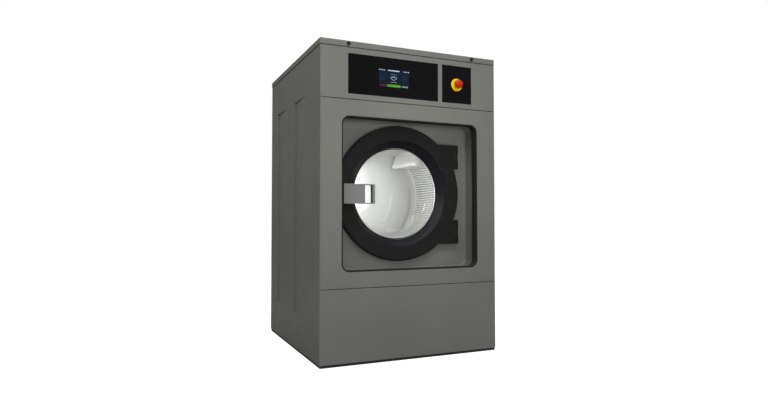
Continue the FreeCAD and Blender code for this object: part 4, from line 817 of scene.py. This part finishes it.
def make_soft_pieces():
    """Rubber buffers and drain bellows, which give between base and hanging tub, and the shaft's seal."""
    buffers = []
    for x in (-280.0, 240.0):
        for y in (-255.0, 255.0):
            buffers.append(turned(BUFFER_RUBBER, (x, y), steps=48, axis="Z"))
            for plate in (BUFFER_FOOT, BUFFER_CAP):
                buffers.append(paint(turned(plate, (x, y), steps=48, axis="Z"), 1))
    made = piece("suspension_buffers", joined(buffers), None, "black_rubber", RUBBER, ZINC,
                 stands_for=("suspension_springs",))
    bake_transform(made)
    wall = [(38.0, 185.2), (42.2, 185.2), (42.2, 204.0, 1.0)]
    wall += folds(212.0, FOLD_PITCH, 37.5, 42.2)
    wall += [(42.2, 330.0, 1.0), (42.2, 354.8), (38.0, 354.8), (38.0, 330.0)]
    wall += folds(320.0, -FOLD_PITCH, 33.5, 38.0)
    wall += [(38.0, 204.0)]
    bellows = turned(wall, (-20.0, -150.0), steps=64, ring=True, axis="Z")
    hose = piece("drain_bellows", bellows, None, "black_rubber", stands_for=("drain_hose",))
    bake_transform(hose)
    seal = turned(SHAFT_LIP, WASH_AXIS, steps=96, ring=True)
    piece("shaft_lip_seal", seal, "wash_group", "black_rubber", stands_for=("shaft_seal",))


# Drive

MOTOR_AXIS = (318.851, 1108.840)
MOTOR_HOUSING = ((0.0, 61.2), (66.0, 61.2, 8.0), (94.6, 67.0, 8.0), (94.6, 108.0, 1.0), (84.0, 110.0),
                 (84.0, 322.0), (94.6, 324.0, 1.0), (94.6, 350.0, 8.0), (60.0, 360.8, 6.0), (14.4, 360.8),
                 (14.4, 300.0), (0.0, 300.0))
MOTOR_FINS = 36
FIN_FOOT, FIN_TIP, FIN_FRONT, FIN_REAR, FIN_HALF = 83.0, 94.6, 109.0, 323.0, 1.4
SINK_BLOCK = ((190.3, 397.0, 1215.3), (389.7, 452.7, 1364.7))
SINK_FINS, SINK_FIN_HALF = range(200, 381, 12), 1.6
BELT_MIDDLE = Vector((149.0, 405.0, 928.0)) * MM
BELT_ACROSS = 30.0
RIB_START, RIB_STEP, RIB_DEPTH, RIB_CUTS = 388.0, 2.0, 1.6, 16


def make_drive():
    """Finned motor housing, heat sink of the inverter and ribbed belt."""
    housing = turned(MOTOR_HOUSING, MOTOR_AXIS, steps=96)
    x, z = MOTOR_AXIS
    fins = slab((x + FIN_FOOT, FIN_FRONT, z - FIN_HALF), (x + FIN_TIP, FIN_REAR, z + FIN_HALF))
    copies = MOTOR_FINS - 1
    bmesh.ops.spin(fins, geom=fins.verts[:] + fins.edges[:] + fins.faces[:], cent=(x * MM, 0.0, z * MM),
                   axis=(0.0, 1.0, 0.0), angle=2 * pi * copies / MOTOR_FINS, steps=copies, use_duplicate=True)
    piece("motor_finned_housing", joined([housing, fins]), "wash_group", "cast_aluminium",
          stands_for=("motor_body",))

    sink = [slab(*SINK_BLOCK, 4.0, 3)]
    for fin in SINK_FINS:
        sink.append(slab((fin - SINK_FIN_HALF, 373.3, 1219.0), (fin + SINK_FIN_HALF, 399.0, 1361.0), 0.5))
    piece("inverter_heat_sink", joined(sink), "cabinet", "cast_aluminium", stands_for=("inverter_drive",))

    belt = node_shape("drive_belt")
    inner = []
    for edge in belt.edges:
        first, second = edge.verts
        facing = sum((face.normal for face in edge.link_faces), Vector()).dot(BELT_MIDDLE - first.co)
        if abs(first.co.y - second.co.y) > BELT_ACROSS * MM and facing > 0.0:
            inner.append(edge)
    cut = bmesh.ops.subdivide_edges(belt, edges=inner, cuts=RIB_CUTS)
    for v in {g for g in cut["geom_inner"] if isinstance(g, bmesh.types.BMVert)}:
        if round((v.co.y / MM - RIB_START) / RIB_STEP) % 2:
            v.co -= v.normal * RIB_DEPTH * MM
    bmesh.ops.recalc_face_normals(belt, faces=belt.faces)
    piece("drive_belt_ribbed", belt, "wash_group", "black_rubber", stands_for=("drive_belt",))


# Back

BACK, COVER, INLETS = 455.0, 457.0, 1290.0
HOOD_HALF, HOOD_TOP, HOOD_FOOT = 79.0, 7.0, 4.0
COVER_RIM = ((309.6, 468.4, 1027.6, 457.0, 4.0), (308.6, 469.4, 1026.6, 459.0, 4.0),
             (301.0, 477.0, 1019.0, 459.0, 4.0), (300.0, 478.0, 1018.0, 457.0, 4.0))
THREAD = [(radius, 462.5 + 1.25 * number) for number, radius in enumerate((12.2, 13.2) * 8)]
INLET_TAIL = ([(0.0, 452.0), (16.2, 452.0), (16.2, 459.0, 0.6), (12.2, 459.2), (12.2, 462.0)] + THREAD
              + [(12.4, 484.9, 0.5), (9.6, 484.9, 0.5), (9.6, 468.0), (0.0, 468.0)])
INLET_BAND = ((16.0, 455.4), (21.0, 455.4, 0.6), (21.0, 458.6, 0.6), (16.0, 458.6))
COIL_HALF, COIL_FRONT, COIL_REAR = 28.0, 393.2, 452.9
WIRE_PLACES, WIRE_HALF, WIRE_FRONT, WIRE_REAR = (-6, -3, 0, 3, 6), 0.4, 470.0, 470.8
SIDE_SCREWS = (60.0, 300.0, 540.0, 780.0, 1020.0, 1350.0)
COVER_SCREWS = (488.0, 618.0, 748.0, 878.0, 1008.0)
LOUVRE_PITCH = 30.0
DOSING_BARB = ((3.4, 452.0), (5.9, 452.0), (5.9, 461.0), (7.0, 461.4), (5.7, 465.6), (6.8, 466.0),
               (5.5, 470.2), (6.4, 470.6), (5.0, 474.9, 0.4), (3.4, 474.9, 0.4))
GLAND_SLEEVE = ((7.1, 441.2, 0.5), (13.9, 441.2, 0.8), (13.9, 454.0), (19.6, 455.1), (19.6, 456.8, 0.6),
                (13.0, 457.0), (13.0, 466.0), (7.1, 466.0))
GLAND_DOME = ((7.1, 465.0), (15.6, 465.0, 0.6), (15.6, 472.0, 1.0), (12.6, 478.9, 3.0), (7.1, 478.9, 1.2))
GLAND_AXIS = (130.0, INLETS)
DRAIN_BEAD = ((37.4, 470.0), (39.6, 471.0, 0.6), (40.2, 474.0, 1.6), (38.6, 477.0, 1.0), (37.4, 478.0))
DRAIN_AXIS = (-20.0, 140.0)


def prism(x, z, start, end, radius):
    """A hexagon along the depth."""
    bm = bmesh.new()
    place = Matrix.Translation((x * MM, (start + end) / 2 * MM, z * MM)) @ Matrix.Rotation(-pi / 2, 4, "X")
    bmesh.ops.create_cone(bm, cap_ends=True, segments=6, radius1=radius * MM, radius2=radius * MM,
                          depth=(end - start) * MM, matrix=place)
    rim = [e for e in bm.edges if abs(e.verts[0].co.y - e.verts[1].co.y) < TOUCHING
           and e.verts[0].co.y > start * MM + TOUCHING]
    round_off(bm, rim, 0.08 * radius, 2)
    return bm


def screw(x, z, y):
    """A washer-faced hexagon screw in a sheet's outer face."""
    profile = ((0.0, y), (7.2, y), (7.2, y + 1.0, 0.4), (4.8, y + 1.5), (0.0, y + 1.5))
    washer = turned(profile, (x, z), steps=24, round_steps=2)
    return [washer, prism(x, z, y + 1.4, y + 5.0, 4.6)]


def hood(x, z):
    """A pressed hood over one louvre slot, open below."""
    bm = bmesh.new()
    sides = [(side, (x + side * HOOD_HALF) * MM) for side in (-1, 1)]
    foot = (z - HOOD_FOOT) * MM
    ends = [bm.verts.new((end, COVER * MM, (z + HOOD_TOP) * MM)) for _, end in sides]
    bmesh.ops.spin(bm, geom=ends + [bm.edges.new(ends)], cent=(0.0, COVER * MM, foot), axis=(1.0, 0.0, 0.0),
                   angle=-pi / 2, steps=6)
    for side, end in sides:
        arc = sorted((v for v in bm.verts if (v.co.x - x * MM) * side > 0.0), key=lambda v: v.co.z)
        bm.faces.new([bm.verts.new((end, COVER * MM, foot))] + arc)
    return aim(bm, Vector((x, 2000.0, z + 1000.0)) * MM)


def make_rear_sheets():
    """Louvre hoods, the access cover's pressed rim and the sheet screws."""
    louvres = [WASH_AXIS[1] + LOUVRE_PITCH * step for step in (-2.5, -1.5, -0.5, 0.5, 1.5, 2.5)]
    hoods = [hood(x, z) for x in (-160.0, 160.0) for z in louvres]
    thicken(piece("louvre_hoods", joined(hoods), "cabinet", "galvanised", crease=50.0), 1.0)
    rim = aim(framed(COVER_RIM), Vector((0.0, 3000.0, 748.0)) * MM)
    piece("cover_pressed_rim", rim, "cabinet", "galvanised")
    screws = []
    for x in (-424.0, 424.0):
        for z in SIDE_SCREWS:
            screws += screw(x, z, BACK)
    for x in (-210.0, 0.0, 210.0):
        screws += screw(x, 1355.0, BACK) + screw(x * 1.1 + 60.0, 40.0, BACK)
        screws += screw(x * 0.7, COVER_SCREWS[0], COVER) + screw(x * 0.7, COVER_SCREWS[-1], COVER)
    for x in (-290.0, 290.0):
        for z in COVER_SCREWS:
            screws += screw(x, z, COVER)
    piece("rear_sheet_screws", joined(screws), "cabinet", "bearing_steel")


def make_inlet(node, x, ring):
    """A water valve with its coil, a threaded tail with a strainer in it, and a ring for hot or cold."""
    tail = turned(INLET_TAIL, (x, INLETS), steps=48, round_steps=2)
    low = (x - COIL_HALF, COIL_FRONT, INLETS - COIL_HALF)
    coil = slab(low, (x + COIL_HALF, COIL_REAR, INLETS + COIL_HALF), 5.0, 3)
    band = turned(INLET_BAND, (x, INLETS), steps=48, ring=True)
    strainer = []
    for z in (INLETS + place for place in WIRE_PLACES):
        strainer.append(slab((x - 9.6, WIRE_FRONT, z - WIRE_HALF), (x + 9.6, WIRE_REAR, z + WIRE_HALF)))
    for wire in (x + place for place in WIRE_PLACES):
        low = (wire - WIRE_HALF, WIRE_FRONT, INLETS - 9.0)
        strainer.append(slab(low, (wire + WIRE_HALF, WIRE_REAR, INLETS + 9.0)))
    whole = joined([tail, paint(coil, 1), paint(band, 2)] + strainer)
    piece(node + "_threaded", whole, "cabinet", "brass", BRASS, BLACK_PLASTIC, ring, stands_for=(node,))


def make_rear_fittings():
    """Water inlets, dosing barbs, cable gland and the drain outlet's bead."""
    make_inlet("cold_water_valve", -330.0, WHITE_PLASTIC)
    make_inlet("hot_water_valve", -230.0, RED_PLASTIC)
    dosing = [slab((-59.9, 423.1, 1275.1), (59.9, 452.9, 1304.9), 2.5, 3)]
    dosing += [turned(DOSING_BARB, (x, INLETS), steps=40, ring=True) for x in (-45.0, -15.0, 15.0, 45.0)]
    piece("dosing_barbs", joined(dosing), "cabinet", "white_plastic", stands_for=("dosing_manifold",))
    sleeve = turned(GLAND_SLEEVE, GLAND_AXIS, steps=64, ring=True)
    nut = prism(*GLAND_AXIS, 456.6, 465.2, 19.6)
    dome = turned(GLAND_DOME, GLAND_AXIS, steps=64, ring=True)
    piece("cable_gland_nut", joined([sleeve, nut, dome]), "cabinet", "black_plastic",
          stands_for=("cable_gland",))
    bead = turned(DRAIN_BEAD, DRAIN_AXIS, steps=72, ring=True)
    piece("drain_outlet_bead", bead, "cabinet", "white_plastic")


def dress_nodes():
    """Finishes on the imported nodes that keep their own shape."""
    # The tub shell takes the steel painted dark as shade behind the drum's holes
    for name, node in frame["nodes"].items():
        node.material_slots[0].material = TUB_STEEL if name == "tub_shell" else FINISHES[NODE_SLOTS[name]]


# Studio

def make_floor():
    """Pale floor that the camera sees as white."""
    sheet = bmesh.new()
    bmesh.ops.create_grid(sheet, x_segments=1, y_segments=1, size=40.0)
    bmesh.ops.translate(sheet, verts=sheet.verts, vec=(0.0, 0.0, -0.0005))
    mesh = bpy.data.meshes.new("studio_floor")
    sheet.to_mesh(mesh)
    sheet.free()
    pale = finish("pale_floor", "7c7c7c", "808080", (0.8, 0.9), grain=60.0, strength=0.02,
                  Emission_Color=WHITE)
    tree = pale.node_tree
    seen = put(tree, "LightPath").outputs["Is Camera Ray"]
    tree.links.new(seen, tree.nodes["Principled BSDF"].inputs["Emission Strength"])
    mesh.materials.append(pale)
    ground = bpy.data.objects.new("studio_floor", mesh)
    bpy.context.scene.collection.objects.link(ground)


def make_sky():
    """White surroundings that light the part less than the camera sees."""
    scene = bpy.context.scene
    scene.view_settings.view_transform = "Standard"
    world = bpy.data.worlds.new("studio")
    world.use_nodes = True
    tree = world.node_tree
    sky = tree.nodes["Background"]
    sky.inputs["Color"].default_value = WHITE
    seen = put(tree, "LightPath").outputs["Is Camera Ray"]
    tree.links.new(spread(tree, seen, 0.0, 1.0, 0.25, 1.0), sky.inputs["Strength"])
    scene.world = world


def lamp(name, place, target, width, height, power, cone=180.0, glints=True):
    """A soft lamp that neither the camera nor the door's glass shows."""
    light = bpy.data.lights.new(name, "AREA")
    light.spread = radians(cone)
    light.shape = "RECTANGLE"
    light.size, light.size_y = width, height
    light.energy = power
    hung = bpy.data.objects.new(name, light)
    hung.location = place
    hung.visible_camera = hung.visible_transmission = False
    hung.visible_glossy = glints
    hung.rotation_euler = (Vector(target) - Vector(place)).to_track_quat("-Z", "Y").to_euler()
    bpy.context.scene.collection.objects.link(hung)


def hang_lamps():
    """Softboxes round the machine, and small lamps for the drum and the recess."""
    lamp("overhead_softbox", (0.0, -0.6, 4.4), (0.0, -0.4, 0.0), 5.0, 5.0, 135.0)
    lamp("front_softbox", (-0.3, -5.0, 1.1), (0.0, -0.4, 0.9), 1.0, 0.8, 72.0, glints=False)
    lamp("raised_softbox", (-0.7, -2.7, 2.9), (0.0, -0.4, 0.9), 2.0, 1.4, 15.0)
    lamp("left_softbox", (-3.2, -2.2, 2.8), (-0.4, 0.0, 0.9), 1.4, 1.4, 43.0)
    lamp("drum_lamp", (-0.210, -0.14, 0.800), (-0.17, 0.19, 0.770), 0.08, 0.12, 3.6, 115.0, glints=False)
    lamp("drum_fill", (-0.300, -0.25, 0.760), (0.33, 0.0, 0.74), 0.08, 0.08, 1.4, 90.0, glints=False)
    lamp("recess_fill", (-0.3, -2.0, 0.45), (0.0, -0.36, 1.10), 0.30, 0.30, 1.25, 60.0, glints=False)
    lamp("rear_softbox", (1.2, 4.2, 2.2), (0.0, 0.4, 0.8), 2.0, 2.0, 95.0)


def place_camera():
    """The camera as fitted to the photo."""
    camera = bpy.data.cameras.new("photo_camera")
    camera.sensor_width = 36.0
    camera.lens = 26.79
    stand = bpy.data.objects.new("photo_camera", camera)
    stand.location = (-1.1652, -2.7697, 0.6275)
    stand.rotation_euler = (radians(91.82), 0.0, radians(-23.80))
    bpy.context.scene.collection.objects.link(stand)
    bpy.context.scene.camera = stand


dress_nodes()
make_cabinet()
make_controls()
make_surround()
make_door()
make_drum_wall()
make_drum_back()
make_drum_lifters()
make_soft_pieces()
make_drive()
make_rear_sheets()
make_rear_fittings()
make_floor()
make_sky()
hang_lamps()
place_camera()
